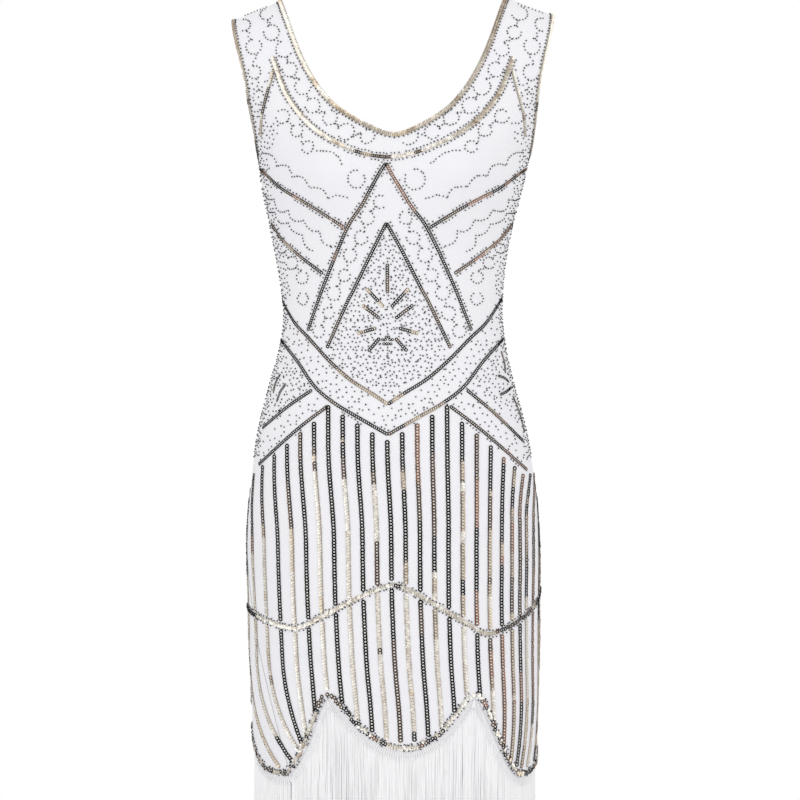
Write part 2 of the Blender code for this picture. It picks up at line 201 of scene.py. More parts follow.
# Soft creases: turn, top, bottom, degrees of lean from bottom to top, width and depth in mm
creases = (
    (-31, -0.735, -0.800, -9, 5, -1.0),
    (-37, -0.715, -0.815, -12, 6, -0.7),
    (-25, -0.745, -0.798, 5, 5, -0.6),
    (30, -0.725, -0.803, 7, 6, -0.9),
    (36, -0.700, -0.815, 13, 7, -0.6),
    (-66, -0.640, -0.860, -22, 11, -1.2),
    (-84, -0.620, -0.870, -20, 9, 1.0),
    (70, -0.660, -0.870, 9, 10, -1.0),
    (92, -0.640, -0.845, 6, 9, 0.9),
    (-83, -0.205, -0.290, 24, 7, -1.1),
    (84, -0.210, -0.300, -26, 7, -1.1),
    (-62, -0.225, -0.300, 30, 8, 0.7),
    (60, -0.230, -0.310, -31, 8, 0.7),
    (-52, -0.120, -0.190, 9, 7, 0.8),
    (51, -0.125, -0.192, -8, 7, 0.8),
    (-15, -0.520, -0.690, 3, 16, -0.7),
    (18, -0.540, -0.720, -4, 18, -0.7),
    (150, -0.795, -0.690, 8, 7, -1.0),
    (209, -0.798, -0.700, -9, 7, -1.0),
    (168, -0.330, -0.410, 22, 9, -1.3),
    (193, -0.340, -0.425, -26, 9, -1.3),
    (135, -0.345, -0.440, 20, 10, -1.1),
    (226, -0.335, -0.430, -19, 10, -1.1),
    (158, -0.640, -0.830, 4, 16, 1.0),
    (199, -0.660, -0.850, -3, 15, 1.0),
    (120, -0.200, -0.300, -16, 9, -1.0),
    (241, -0.205, -0.290, 15, 9, -1.0),
)
seamPinch = {"depth": 0.45 * mm, "wide": 2.2 * mm, "fullBelow": 0.20}
seamPull = {"turn": 38, "top": -0.60, "foot": -0.875}  # the right side seam swings to the front


def pulledSeam(height):
    share = np.clip((seamPull["top"] - height) / (seamPull["top"] - seamPull["foot"]), 0, 1.1)
    return seamPull["turn"] * share


def creaseAt(turn, height):
    reach = 0.15 * math.pi / 180  # metres to a degree, nearly
    out = np.zeros(np.shape(turn))
    for middle, top, bottom, tip, wide, deep in creases:
        along = np.clip((height - bottom) / (top - bottom), 0, 1)
        away = awayFrom(middle, turn - tip * (along - 0.5))
        ends = np.sin(math.pi * along) ** 1.5
        out = out + deep * mm * ends * hump(away * reach, 0, wide * mm)
    for seam in (90, -90 + pulledSeam(height)):
        away = awayFrom(seam, turn)
        pinch = seamPinch["depth"] * hump(away * reach, 0, seamPinch["wide"])
        out = out - pinch * fade(-height, -sections[underarm][0], seamPinch["fullBelow"])
    return out


def slopeOf(surface, turn, level):
    # square to the surface, from small steps beside the place
    aside, up = 0.2, 0.02
    high, low = np.minimum(level + up, shoulder), np.maximum(level - up, 0)
    along = surface(turn + aside, level) - surface(turn - aside, level)
    return np.cross(along, surface(turn, high) - surface(turn, low))


def skin(turn, level):
    level = np.asarray(level, float)
    middle, normal = bare(turn, level), unit(slopeOf(bare, turn, level))
    return middle + normal * creaseAt(turn, middle[..., 2])[..., None]


def stations(turn, level):
    # points of the outside and their normals
    turn, level = np.broadcast_arrays(np.asarray(turn, float), np.asarray(level, float))
    normal = slopeOf(skin, turn, level)
    normal[level >= shoulder, 1] = 0
    return skin(turn, level), unit(normal)


def levelAt(height):
    height = np.asarray(height, float)
    return bisect(lambda level: sectionAt(level).height < height, np.zeros(height.shape), float(shoulder))


def placeAt(x, z, isBack=False):
    x, z = np.broadcast_arrays(np.asarray(x, float), np.asarray(z, float))

    def isBelow(level):
        cut = sectionAt(level)
        return heightAt(cut, x - cut.aside) < z

    level = bisect(isBelow, np.zeros(x.shape), float(shoulder))
    cut = sectionAt(level)
    across = (x - cut.aside) * partner(cut, cut.armhole) / cut.halfWidth
    turned = np.degrees(np.arcsin(np.clip(across, -1, 1)))
    return (180 - turned if isBack else turned) - twistAt(cut.height), level


def outlineCurve(outline):
    first = (-outline[1][0], outline[1][1])
    last = tuple(2 * end - before for before, end in zip(outline[-2], outline[-1]))
    knots = np.array((first, *outline, last))
    place = np.linspace(0, len(outline) - 1, 900)
    knot = np.minimum(place.astype(int), len(outline) - 2)
    return smoothBlend(*(knots[knot + step] for step in range(4)), (place - knot)[:, None])


neckCurves = {outline: outlineCurve(outline) for outline in (neckFront, neckBack)}


def neckTurn(outline, level):
    cut, (wide, high) = sectionAt(level), neckCurves[outline].T

    def isInOpening(half):
        height = cut.height + cut.rise * (cut.halfWidth - half)
        return half < np.where(height <= high[0], 0, np.interp(height, high, wide))

    half = bisect(isInOpening, np.zeros(np.shape(level)), cut.halfWidth)
    return np.degrees(np.arcsin(half * partner(cut, cut.armhole) / cut.halfWidth))


def neckFoot(outline):
    def isBelow(level):
        return bare(0.0, level)[..., 2] < outline[0][1]

    return float(bisect(isBelow, np.float64(0), float(shoulder)))


def edgeTurn(level):
    return np.degrees(np.arcsin(partner(sectionAt(level), sectionAt(level).armhole)))


def awayFrom(middle, turn):
    # degrees from a turn, less than half round
    return (turn - middle + 180) % 360 - 180


def stretchAt(table, turn):
    # the two neighbours in a table of turns and heights, and the share of the way between them
    turns, heights = np.array(table).T
    turn = (np.asarray(turn, float) - turns[0]) % 360 + turns[0]
    place = np.clip(np.searchsorted(turns, turn), 1, len(turns) - 1)
    return heights[place - 1], heights[place], (turn - turns[place - 1]) / (turns[place] - turns[place - 1])


def hemHeight(turn):
    start, end, share = stretchAt(body["hem"], turn)
    low, peak, share = np.minimum(start, end), np.maximum(start, end), np.where(start > end, 1 - share, share)
    climb = np.maximum(1 - np.hypot(1 - share, body["peakRound"]), 0) / (1 - body["peakRound"])
    return low + (peak - low) * climb ** body["scallopPower"]


def waveHeight(turn):
    start, end, share = stretchAt(body["wave"], turn)
    swing = np.arcsin(body["waveCorner"] * np.cos(math.pi * share)) / math.asin(body["waveCorner"])
    return (start + end) / 2 + (start - end) / 2 * swing


# A run is a line on the cloth: evenly spaced points with their normals, tangents and sides
runParts = ("point", "normal", "tangent", "side")


def evenRun(turn, level, pitch, isClosed=False, margin=0.0):
    points, normals = stations(turn, level)
    if isClosed:
        points, normals = np.vstack([points, points[:1]]), np.vstack([normals, normals[:1]])
    steps = np.linalg.norm(np.diff(points, axis=0), axis=1)
    keep = np.concatenate([[True], steps > 1e-7])
    points, normals = points[keep], normals[keep]
    far = np.concatenate([[0], np.cumsum(np.linalg.norm(np.diff(points, axis=0), axis=1))])
    long = far[-1] - 2 * margin
    count = max(int(round(long / pitch)), 1)
    wanted = margin + long * np.arange(count + (not isClosed)) / count

    def spread(values, places):
        return np.stack([np.interp(places, far, values[:, i]) for i in range(3)], 1)

    def at(places):
        return np.mod(places, far[-1]) if isClosed else np.clip(places, 0, far[-1])

    normal = unit(spread(normals, wanted))
    along = spread(points, at(wanted + 0.5 * mm)) - spread(points, at(wanted - 0.5 * mm))
    tangent = unit(along - normal * dot(along, normal))
    side = np.cross(tangent, normal)
    return SimpleNamespace(point=spread(points, wanted), normal=normal, tangent=tangent, side=side)


def moved(run, aside, out=0.0):
    point = run.point + run.side * aside + run.normal * out
    return SimpleNamespace(point=point, normal=run.normal, tangent=run.tangent, side=run.side)


# Meshes


class Heap:
    # points and faces gathered for one mesh
    def __init__(self):
        self.points, self.corners, self.sizes, self.finishes, self.smooth = [], [], [], [], []
        self.count = 0

    def add(self, points, faces, finish=0, isSmooth=True):
        self.points.append(points.reshape(-1, 3))
        self.corners.append((faces + self.count).ravel())
        self.sizes.append(np.full(len(faces), faces.shape[1]))
        self.finishes.append(np.broadcast_to(finish, len(faces)))
        self.smooth.append(np.full(len(faces), isSmooth))
        self.count += len(self.points[-1])

    def piece(self, name, finishes, slot, replaces=()):
        sizes = np.concatenate(self.sizes)
        mesh = bpy.data.meshes.new(name)
        mesh.vertices.add(self.count)
        mesh.vertices.foreach_set("co", np.concatenate(self.points).astype(np.float32).ravel())
        mesh.loops.add(int(sizes.sum()))
        mesh.loops.foreach_set("vertex_index", np.concatenate(self.corners).astype(np.int32))
        mesh.polygons.add(len(sizes))
        mesh.polygons.foreach_set("loop_start", (np.cumsum(sizes) - sizes).astype(np.int32))
        mesh.polygons.foreach_set("material_index", np.concatenate(self.finishes).astype(np.int32))
        mesh.update(calc_edges=True)
        mesh.polygons.foreach_set("use_smooth", np.concatenate(self.smooth))
        for finish in finishes:
            mesh.materials.append(finish)
        made = bpy.data.objects.new(name, mesh)
        bpy.context.scene.collection.objects.link(made)
        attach(made, "root")
        if replaces:
            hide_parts(*replaces)
        print(name, "triangles", int((sizes - 2).sum()))
        return made


def stamp(heap, shape, run, finish, isSmooth=True, size=1.0):
    # one copy of the shape at each point of the run, standing on its normal
    points, faces, part = shape
    frames = np.stack([run.side, run.tangent, run.normal], 1)
    scaled = points[None] * np.reshape(size, (-1, 1, 1))
    placed = np.einsum("nvk,nkd->nvd", np.broadcast_to(scaled, (len(run.point), *points.shape)), frames)
    placed += run.point[:, None]
    offsets = np.arange(len(run.point))[:, None, None] * len(points)
    finish = np.broadcast_to(finish, len(run.point))[:, None]
    # Each sequin's turned rim takes a darker tone: painted shade at its edge.
    which = np.choose(part[None], (0 * finish, finish, shadedRimOf[finish]))
    heap.add(placed, (faces[None] + offsets).reshape(-1, faces.shape[1]), which.ravel(), isSmooth)


def sweep(heap, run, profile, isClosed, finish=0, isSmooth=True):
    # a closed tube whose section is the profile, given as offsets to the side and outwards
    aside, out = np.asarray(profile).T[:, None, :, None]
    rings = run.point[:, None] + run.side[:, None] * aside + run.normal[:, None] * out
    count, wide = rings.shape[:2]
    index = np.arange(count * wide).reshape(count, wide)
    near, far = (index, np.roll(index, -1, 0)) if isClosed else (index[:-1], index[1:])
    faces = np.stack([near, far, np.roll(far, -1, 1), np.roll(near, -1, 1)], -1).reshape(-1, 4)
    heap.add(rings, faces, finish, isSmooth)
    if not isClosed:
        heap.add(rings[0], np.arange(wide)[None, ::-1], finish, isSmooth)
        heap.add(rings[-1], np.arange(wide)[None], finish, isSmooth)


def tubes(heap, lines, radius, sides, finish=0):
    # many upright-ish threads of one length in points: lines is (threads, points, 3)
    angle = 2 * math.pi * np.arange(sides) / sides
    spread = np.stack([np.cos(angle), np.sin(angle), 0 * angle], 1)
    rings = lines[:, :, None] + spread[None, None] * np.reshape(radius, (-1, 1, 1, 1))
    threads, rows = lines.shape[:2]
    index = np.arange(threads * rows * sides).reshape(threads, rows, sides)
    near, far = index[:, :-1], index[:, 1:]
    faces = np.stack([near, far, np.roll(far, -1, 2), np.roll(near, -1, 2)], -1)
    finish = np.broadcast_to(finish, threads)
    heap.add(rings, faces.reshape(-1, 4), np.repeat(finish, (rows - 1) * sides))
    heap.add(rings, index[:, 0, :], finish)
    heap.add(rings, index[:, -1, ::-1], finish)


# Finishes


class Wire:
    # a node's output that can stand in sums
    def __init__(self, tree, socket):
        self.tree, self.socket = tree, socket

    def math(self, operation, first, second):
        return self.tree.add("ShaderNodeMath", {"operation": operation}, {0: first, 1: second})

    def __add__(self, other):
        return self.math("ADD", self, other)

    def __sub__(self, other):
        return self.math("SUBTRACT", self, other)

    def __rsub__(self, other):
        return self.math("SUBTRACT", other, self)

    def __mul__(self, other):
        return self.math("MULTIPLY", self, other)

    __radd__, __rmul__ = __add__, __mul__


class Nodes:
    # the nodes of one tree
    def __init__(self, tree):
        self.nodes, self.links = tree.nodes, tree.links

    def put(self, socket, value):
        if isinstance(value, Wire):
            self.links.new(value.socket, socket)
        elif hasattr(value, "__len__") and len(value) == 3 and socket.type == "RGBA":
            socket.default_value = (*value, 1)
        else:
            socket.default_value = value

    def add(self, kind, settings=None, inputs=None, output=0):
        node = self.nodes.new(kind)
        for name, value in (settings or {}).items():
            setattr(node, name, value)
        for name, value in (inputs or {}).items():
            self.put(node.inputs[name], value)
        return Wire(self, node.outputs[output])


class Finish(Nodes):
    # a Principled material
    def __init__(self, name, **sockets):
        self.material = bpy.data.materials.new(name)
        self.material.use_nodes = True
        super().__init__(self.material.node_tree)
        self.shader = self.nodes["Principled BSDF"]
        self.use(**sockets)

    def noise(self, scale, detail=3, roughness=0.5):
        where = self.add("ShaderNodeTexCoord", output="Object")
        inputs = {"Vector": where, "Scale": scale, "Detail": detail, "Roughness": roughness}
        return self.add("ShaderNodeTexNoise", {}, inputs)

    def mix(self, factor, first, second):
        # 6 and 7 are the colour inputs of Mix
        return self.add("ShaderNodeMix", {"data_type": "RGBA"}, {0: factor, 6: first, 7: second}, output=2)

    def use(self, **sockets):
        for socket, value in sockets.items():
            self.put(self.shader.inputs[socket.replace("_", " ")], value)
        return self.material


def clothFinish(name, settings):
    # lined mesh: a fine net over a smooth ground, slightly uneven
    cloth = Finish(name, Sheen_Weight=settings["sheen"], Sheen_Roughness=0.4, Specular_IOR_Level=0.3)
    where = cloth.add("ShaderNodeTexCoord", output="Object")
    inputs = {"Vector": where, "Scale": 1 / settings["mesh"]}
    net = cloth.add("ShaderNodeTexVoronoi", {"feature": "DISTANCE_TO_EDGE"}, inputs)
    broad = cloth.noise(settings["broad"], 2)
    fine = cloth.noise(settings["fine"], 4, 0.6)
    tint = cloth.mix(broad, settings["cool"], settings["warm"])
    grain = cloth.mix(fine * 0.35, tint, settings["shade"])
    inputs = {"Strength": settings["bump"], "Distance": 0.25 * mm, "Height": net + fine * 0.4}
    bump = cloth.add("ShaderNodeBump", {}, inputs)
    return cloth.use(Base_Color=grain, Roughness=0.62 + broad * 0.2, Normal=bump)


def tapeFinish(name, light, dark, pitch, roughness, sheen):
    # ribbed braid or tape
    tape = Finish(name, Sheen_Weight=sheen, Specular_IOR_Level=0.4)
    rib = tape.noise(1 / pitch, 1)
    soft = tape.noise(90, 2)
    bump = tape.add("ShaderNodeBump", {}, {"Strength": 0.5, "Distance": 0.3 * mm, "Height": rib})
    return tape.use(Base_Color=tape.mix(soft, light, dark), Roughness=roughness + rib * 0.15, Normal=bump)


def glossFinish(name, colour, metallic, roughness, coat=0.0, specular=0.5):
    gloss = Finish(name, Metallic=metallic, Roughness=roughness, Coat_Weight=coat, Coat_Roughness=0.1)
    return gloss.use(Base_Color=colour, Specular_IOR_Level=specular)


def threadFinish(name, colour):
    thread = Finish(name, Roughness=0.55, Sheen_Weight=0.3, Specular_IOR_Level=0.45)
    return thread.use(Base_Color=colour)


clothLook = {
    "mesh": 1.1 * mm,
    "broad": 9,
    "fine": 420,
    "cool": (0.855, 0.852, 0.895),
    "warm": (0.885, 0.876, 0.895),
    "shade": (0.80, 0.80, 0.845),
    "bump": 0.35,
    "sheen": 0.25,
}
cloth = clothFinish("linedMesh", clothLook)
lining = clothFinish("lining", {**clothLook, "mesh": 0.5 * mm, "bump": 0.15})
braid = tapeFinish("champagneBraid", (0.80, 0.76, 0.70), (0.70, 0.64, 0.56), 1.2 * mm, 0.5, 0.2)
tape = tapeFinish("headerTape", (0.90, 0.895, 0.915), (0.85, 0.845, 0.865), 0.8 * mm, 0.6, 0.1)
# a white, a soft and a greyer thread; the greyer one stands in for soft shadow among the strands, painted
# shade
threads = [
    threadFinish("whiteThread", (0.96, 0.952, 0.964)),
    threadFinish("softThread", (0.945, 0.935, 0.95)),
    threadFinish("shadeThread", (0.925, 0.915, 0.93)),
]
tones = {
    # eye: a pale ring round each sequin's hole on every tone, a painted highlight of the flat centre
    "eye": glossFinish("sequinEyePaintedHighlight", (0.93, 0.92, 0.90), 0.0, 0.4),
    "black": glossFinish("blackSequin", (0.004, 0.0035, 0.004), 0.0, 0.3, specular=0.1),
    "bronze": glossFinish("bronzeSequin", (0.12, 0.075, 0.045), 0.7, 0.28),
    "copper": glossFinish("copperSequin", (0.33, 0.165, 0.10), 0.8, 0.28),
    # edge: a darker gold for the turned rims of the pale sequins, painted shade
    "edge": glossFinish("sequinEdgeShade", (0.50, 0.42, 0.33), 0.6, 0.3),
    "khaki": glossFinish("khakiSequin", (0.52, 0.42, 0.30), 0.85, 0.26),
    "gold": glossFinish("goldSequin", (0.74, 0.62, 0.46), 0.9, 0.24),
    "champagne": glossFinish("champagneSequin", (0.88, 0.82, 0.72), 0.8, 0.26),
    "cream": glossFinish("creamSequin", (0.94, 0.91, 0.83), 0.75, 0.28),
}
toneNames = list(tones)
shadedRims = {
    # the darker tone of a sequin's turned rim, painted shade and dark reflection at its edge
    "bronze": "black",
    "copper": "bronze",
    "khaki": "bronze",
    "gold": "edge",
    "champagne": "edge",
    "cream": "edge",
}
shadedRimOf = np.arange(len(tones) + 2)
for tone, rim in shadedRims.items():
    shadedRimOf[toneNames.index(tone)] = toneNames.index(rim)
beadFinishes = [
    glossFinish("charcoalBead", (0.014, 0.014, 0.020), 0.0, 0.2, 0.3),
    glossFinish("smokeBead", (0.07, 0.07, 0.088), 0.4, 0.22, 0.3),
]
seamThread = threadFinish("seamThread", (0.42, 0.40, 0.40))
print("finishes made")


# Sequins and beads

sequin = {
    "hole": 0.3 * mm,
    # the eye ring out to this radius is pale on every sequin: a painted highlight
    "eye": 1.08 * mm,
    "rim": 2.9 * mm,
    "turned": 0.89,  # the rim turns down beyond this share of it
    "cup": 0.55 * mm,
    "sides": 8,
    "pitch": 3.4 * mm,
    "lift": 0.55 * mm,
    "tip": 9,  # degrees each one leans on its neighbour
    "wobble": 5,
    "lined": 0.76,  # those of the drawing are smaller
    "uneven": 0.02,
}
bead = {
    "radius": 1.0 * mm,
    "squash": 0.85,
    "pitch": 4.3 * mm,
    "lift": 0.6 * mm,
    "loose": (0.25 * mm, 0.35 * mm),  # across and along a string
    "smoke": 0.3,  # share of the lighter kind
    "uneven": 0.06,
}
linedWith = 4.0 * mm  # beads on both sides of a row of sequins


def sequinShape():
    angle = 2 * math.pi * np.arange(sequin["sides"]) / sequin["sides"]
    ring = np.stack([np.cos(angle), np.sin(angle), 0 * angle], 1)
    rim = ring * sequin["rim"]
    points = np.vstack([
        ring * sequin["hole"], ring * sequin["eye"], rim * sequin["turned"] + (0, 0, sequin["cup"]), rim,
    ])
    inner = np.arange(sequin["sides"])
    beyond = np.roll(inner, -1)
    step = sequin["sides"]
    faces = [np.stack([inner, inner + step, beyond + step, beyond], 1) + band * step for band in (0, 1, 2)]
    # Part 0, the ring round the hole, is pale on every sequin: a painted highlight.
    return points, np.vstack(faces), np.repeat([0, 1, 2], step)


def beadShape():
    bm = bmesh.new()
    bmesh.ops.create_icosphere(bm, subdivisions=1, radius=bead["radius"])
    points = np.array([vertex.co for vertex in bm.verts]) * (1, 1, bead["squash"])
    faces = np.array([[vertex.index for vertex in face.verts] for face in bm.faces])
    bm.free()
    return points, faces, np.ones(len(faces), int)


sequinForm, beadForm = sequinShape(), beadShape()
sewn = {"front": [], "back": []}  # rows of sequins, each with its tones
strung = {"front": [], "back": []}  # seed beads


def toneRuns(count, recipe, run):
    # tones change now and then along a row
    # recipe gives each tone's weight, a number or one for each sequin
    weights = np.zeros((count, len(toneNames)))
    for name, weight in recipe.items():
        weights[:, toneNames.index(name)] = weight
    weights /= weights.sum(1, keepdims=True)
    found, now = np.empty(count, int), None
    for i in range(count):
        if now is None or dice.random() < 1 / run or weights[i, now] == 0:
            now = int(np.searchsorted(np.cumsum(weights[i]), dice.random() * 0.9999))
        found[i] = now
    return found


def laid(run, lift, tip, wobble):
    # leans each sequin along its row, with a little of chance
    count = len(run.point)
    along = np.tan(np.radians(tip + dice.normal(0, wobble, (count, 1))))
    across = np.tan(np.radians(dice.normal(0, wobble, (count, 1))))
    normal = unit(run.normal + run.tangent * along + run.side * across)
    spin = dice.uniform(0, math.pi, (count, 1))
    first = run.side * np.cos(spin) + run.tangent * np.sin(spin)
    side = unit(first - normal * dot(first, normal))
    point = run.point + run.normal * lift
    return SimpleNamespace(point=point, normal=normal, tangent=np.cross(normal, side), side=side)


def sewRow(face, run, tones, size=1.0):
    row = laid(run, sequin["lift"], sequin["tip"], sequin["wobble"])
    sewn[face].append((row, tones, np.broadcast_to(size, len(tones))))


def stringRow(face, run, aside, keep=1.0):
    line = moved(run, aside, bead["lift"])
    line = picked(line, dice.random(len(line.point)) < keep)
    for way, loose in zip((line.side, line.tangent), bead["loose"]):
        line.point += way * dice.normal(0, loose, (len(line.point), 1))
    strung[face].append(line)


def picked(run, kept):
    return SimpleNamespace(**{part: getattr(run, part)[kept] for part in runParts})


def treeOf(runs):
    others = np.concatenate([run.point for run in runs])
    tree = KDTree(len(others))
    for i, point in enumerate(others):
        tree.insert(point, i)
    tree.balance()
    return tree


def isClear(points, tree, reach):
    return np.array([tree.find(point)[2] > reach for point in points], bool)


def joinRuns(runs):
    joined = {part: np.concatenate([getattr(run, part) for run in runs]) for part in runParts}
    return SimpleNamespace(**joined)


# The drawing of the bodice. Points are half widths and heights in mm, the same on both sides

drift = {
    "height": (-0.600, -0.470, -0.300, -0.210, -0.150, -0.100),
    "shift": (-0.0045, -0.0056, -0.0062, -0.0085, -0.0030, 0.0),
}
lift = {"foot": -395, "share": 0.72, "inner": 60, "outer": 142}  # the back's drawing is lower in the middle
figure = {
    "yoke": (
        (0, -193.5), (18, -191.5), (35, -187.5), (49, -182), (69, -172), (90, -157), (108, -137), (122, -115),
        (136, -77),
    ),
    "yokeBack": (
        (0, -185), (22, -183.5), (44, -178), (66, -166), (86, -152), (104, -133), (120, -112), (136, -77),
    ),
    "branch": ((134.5, -91), (138, -106), (144, -128), (148, -146), (149.5, -166)),
    "outer": (
        (0, -200), (17.5, -230), (28, -248), (42, -267), (55, -293), (73.5, -336), (82, -358), (92.5, -386),
    ),
    "inner": ((0, -266), (17, -298), (38, -340), (46, -355), (69.5, -406)),
    "rayHigh": ((152, -200), (125, -224), (102, -238), (80, -251), (47.5, -271.5)),
    "rayLow": ((138, -262), (122, -283), (101, -302), (74, -322)),
    "chevronHigh": (
        (0, -469), (18, -457), (42.5, -441.5), (67, -420), (91.5, -394), (109, -376), (127, -347),
    ),
    "chevronLow": ((0, -503), (30.5, -485.5), (60.5, -468), (84, -449), (105.5, -420), (128, -394)),
    "hipHigh": ((87, -453), (116, -475), (149, -504)),
    "hipLow": ((68.5, -471), (105, -499), (153, -541)),
}
tilt = {"hipHigh": 7.5, "hipLow": 3.2}  # mm, lower towards the wearer's left
sun = (
    # ends of each ray in mm
    ((0, -343.7), (0, -312.4)),
    ((5.0, -359.3), (22.9, -339.8)),
    ((9.7, -372.3), (27.9, -358.2)),
    ((13.6, -383.9), (33.3, -389.5)),
    ((9.4, -395.6), (21.2, -409.0)),
)
blossom = {
    "middle": -398,
    "radius": 4.2,
    "petals": 5,
    "half": 1.5,  # mm, half a petal
    "pitch": 3 * mm,
    "size": 0.6,
    "stem": -424,
    "stemPitch": 0.7,  # share of the beads' own
}
lineLooks = {
    # tones, how many sequins keep one tone, and the share of beads kept beside the line
    "yoke": ({"gold": 0.1, "champagne": 0.5, "cream": 0.4, "bronze": 0.03}, 3, 0.95),
    "yokeBack": ({"gold": 0.1, "champagne": 0.5, "cream": 0.4, "bronze": 0.03}, 3, 0.95),
    "branch": ({"bronze": 0.25, "copper": 0.1, "gold": 0.3, "champagne": 0.3, "black": 0.05}, 4, 0.6),
    "outer": ({"black": 0.7, "bronze": 0.24, "copper": 0.06}, 9, 0.75),
    "inner": ({"black": 0.88, "bronze": 0.12}, 12, 0.6),
    "rayHigh": ({"black": 0.35, "bronze": 0.35, "copper": 0.15, "khaki": 0.15}, 4, 0.7),
    "rayLow": ({"black": 0.4, "bronze": 0.35, "copper": 0.1, "khaki": 0.15}, 4, 0.7),
    "chevronHigh": ({"black": 0.8, "bronze": 0.16, "khaki": 0.04}, 14, 0.2),
    "chevronLow": ({"black": 0.88, "bronze": 0.1, "khaki": 0.02}, 14, 0.25),
    "hipHigh": ({"black": 0.65, "bronze": 0.23, "copper": 0.06, "khaki": 0.06}, 8, 0.2),
    "hipLow": ({"black": 0.65, "bronze": 0.27, "copper": 0.04, "khaki": 0.04}, 8, 0.25),
    "sun": ({"black": 0.6, "bronze": 0.2, "khaki": 0.1, "gold": 0.1}, 4, 0.3),
}
yokeLook = {"pitch": 0.66, "wider": 0.3, "widerFrom": (0.05, 0.09)}  # closer and larger towards the ends
accents = (
    # other tones for a stretch: line, tone, weight, and middle and width of the stretch in m
    ("chevronHigh", "khaki", 2.0, -0.006, 0.012),
    ("yoke", "bronze", 0.9, -0.044, 0.013),
    ("yoke", "bronze", 0.27, 0.022, 0.010),
    ("yoke", "black", 0.8, -0.044, 0.013),
    ("yoke", "black", 0.24, 0.022, 0.010),
)
strokeLook = {"pitch": 0.6, "size": 0.6, "run": 3}
strokeTones = {"black": 0.35, "bronze": 0.4, "copper": 0.15, "khaki": 0.1}
strokes = (
    # short curved rows by the side seams: side, and points in mm
    (1, ((125.5, -410), (128.5, -421), (129.5, -432))),
    (1, ((122, -437), (128, -439), (133, -443))),
    (1, ((124, -458), (130, -455), (136, -450))),
    (1, ((138, -461), (143, -473), (147, -487), (150, -500))),
    (-1, ((127, -436), (132, -444), (135, -455))),
    (-1, ((120, -447), (126, -455), (130, -465))),
)


def curve(points, fineness=40):
    points = np.asarray(points, float)
    padded = np.vstack([2 * points[0] - points[1], points, 2 * points[-1] - points[-2]])
    place = np.linspace(0, len(points) - 1, fineness * (len(points) - 1) + 1)
    knot = np.minimum(place.astype(int), len(points) - 2)
    return smoothBlend(*(padded[knot + step] for step in range(4)), (place - knot)[:, None])


def onCloth(points, side, isBack):
    # points of the drawing, in mm, as turns and levels
    half, height = points[:, 0], points[:, 1]
    if isBack:
        share = lift["share"] + (1 - lift["share"]) * fade(half, lift["inner"], lift["outer"])
        height = np.where(height > lift["foot"], lift["foot"] + (height - lift["foot"]) * share, height)
        shift = 0
    else:
        shift = np.interp(height * mm, drift["height"], drift["shift"])
    x = side * half * mm + shift * np.maximum(1 - (half / 150) ** 2, 0)
    return placeAt(x, height * mm, isBack)


def acrossMiddle(points, isBack):
    # points on both sides of the middle, told apart by the sign of the half width
    return onCloth(np.abs(points) * (1, -1), np.sign(points[:, 0] + 1e-9), isBack)


def strungBeside(face, places, keep, margin):
    for aside in (-linedWith, linedWith):
        stringRow(face, evenRun(*places, bead["pitch"], margin=margin), aside, keep)


def drawLine(name, isBack):
    face = "back" if isBack else "front"
    points = curve(figure[name])
    recipe, length, keep = lineLooks[name]
    isYoke = name.startswith("yoke")
    for side in (1,) if isYoke else (-1, 1):
        if isYoke:
            places = acrossMiddle(np.vstack([points[::-1] * (-1, 1), points[1:]]), isBack)
        else:
            share = (points[:, 0] - points[0, 0]) / np.ptp(points[:, 0])
            tilted = points - np.stack([0 * share, tilt.get(name, 0) * side * share], 1)
            places = onCloth(tilted, side, isBack)
        pitch = yokeLook["pitch"] if isYoke else sequin["lined"]
        run = evenRun(*places, sequin["pitch"] * pitch, margin=2 * mm)
        x = run.point[:, 0]
        found, size = dict(recipe), np.full(len(x), sequin["lined"])
        # coppery towards the wearer's left
        if side > 0 and name.startswith("ray"):
            found["copper"] = recipe["copper"] + 1.5 * fade(x, 0.06, 0.11)
        if side > 0 and name.startswith("hip"):
            found["bronze"] = 0.5
            found["khaki"] = 0.3 * fade(x, 0.08, 0.12)
            found["copper"] = 0.3 * fade(x, 0.10, 0.13)
        for line, tone, weight, middle, wide in accents:
            if name.startswith(line):
                found[tone] = found.get(tone, 0) + weight * hump(x, middle, wide)
        if isYoke:
            size = sequin["lined"] + yokeLook["wider"] * fade(np.abs(x), *yokeLook["widerFrom"])
        sewRow(face, run, toneRuns(len(run.point), found, length), size)
        strungBeside(face, places, keep, 2 * mm)


def drawSun(isBack):
    face = "back" if isBack else "front"
    recipe, length, keep = lineLooks["sun"]
    for ends in sun:
        for side in (-1, 1) if ends[0][0] else (1,):
            places = onCloth(curve(ends), side, isBack)
            run = evenRun(*places, sequin["pitch"] * sequin["lined"], margin=1 * mm)
            sewRow(face, run, toneRuns(len(run.point), recipe, length), sequin["lined"])
            strungBeside(face, places, keep, 0)
    for number in range(blossom["petals"]):
        angle = 2 * math.pi * number / blossom["petals"]
        middle = np.array((math.sin(angle), math.cos(angle))) * blossom["radius"] + (0, blossom["middle"])
        ends = np.array([middle + (-blossom["half"], 0), middle + (blossom["half"], 0)])
        run = evenRun(*acrossMiddle(ends, isBack), blossom["pitch"])
        sewRow(face, run, np.full(2, toneNames.index("black")), blossom["size"])
    stem = curve(((0, blossom["middle"] - blossom["radius"]), (0.5, blossom["stem"])))
    stringRow(face, evenRun(*onCloth(stem, 1, isBack), bead["pitch"] * blossom["stemPitch"]), 0.0)
    for side, points in () if isBack else strokes:
        run = evenRun(*onCloth(curve(points), side, isBack), sequin["pitch"] * strokeLook["pitch"])
        tone = toneRuns(len(run.point), strokeTones, strokeLook["run"])
        sewRow(face, run, tone, strokeLook["size"])


for isBack in (False, True):
    for name in figure:
        if name == ("yoke" if isBack else "yokeBack"):
            continue
        drawLine(name, isBack)
    drawSun(isBack)
print("drawing placed")


# Rows of sequins down the skirt

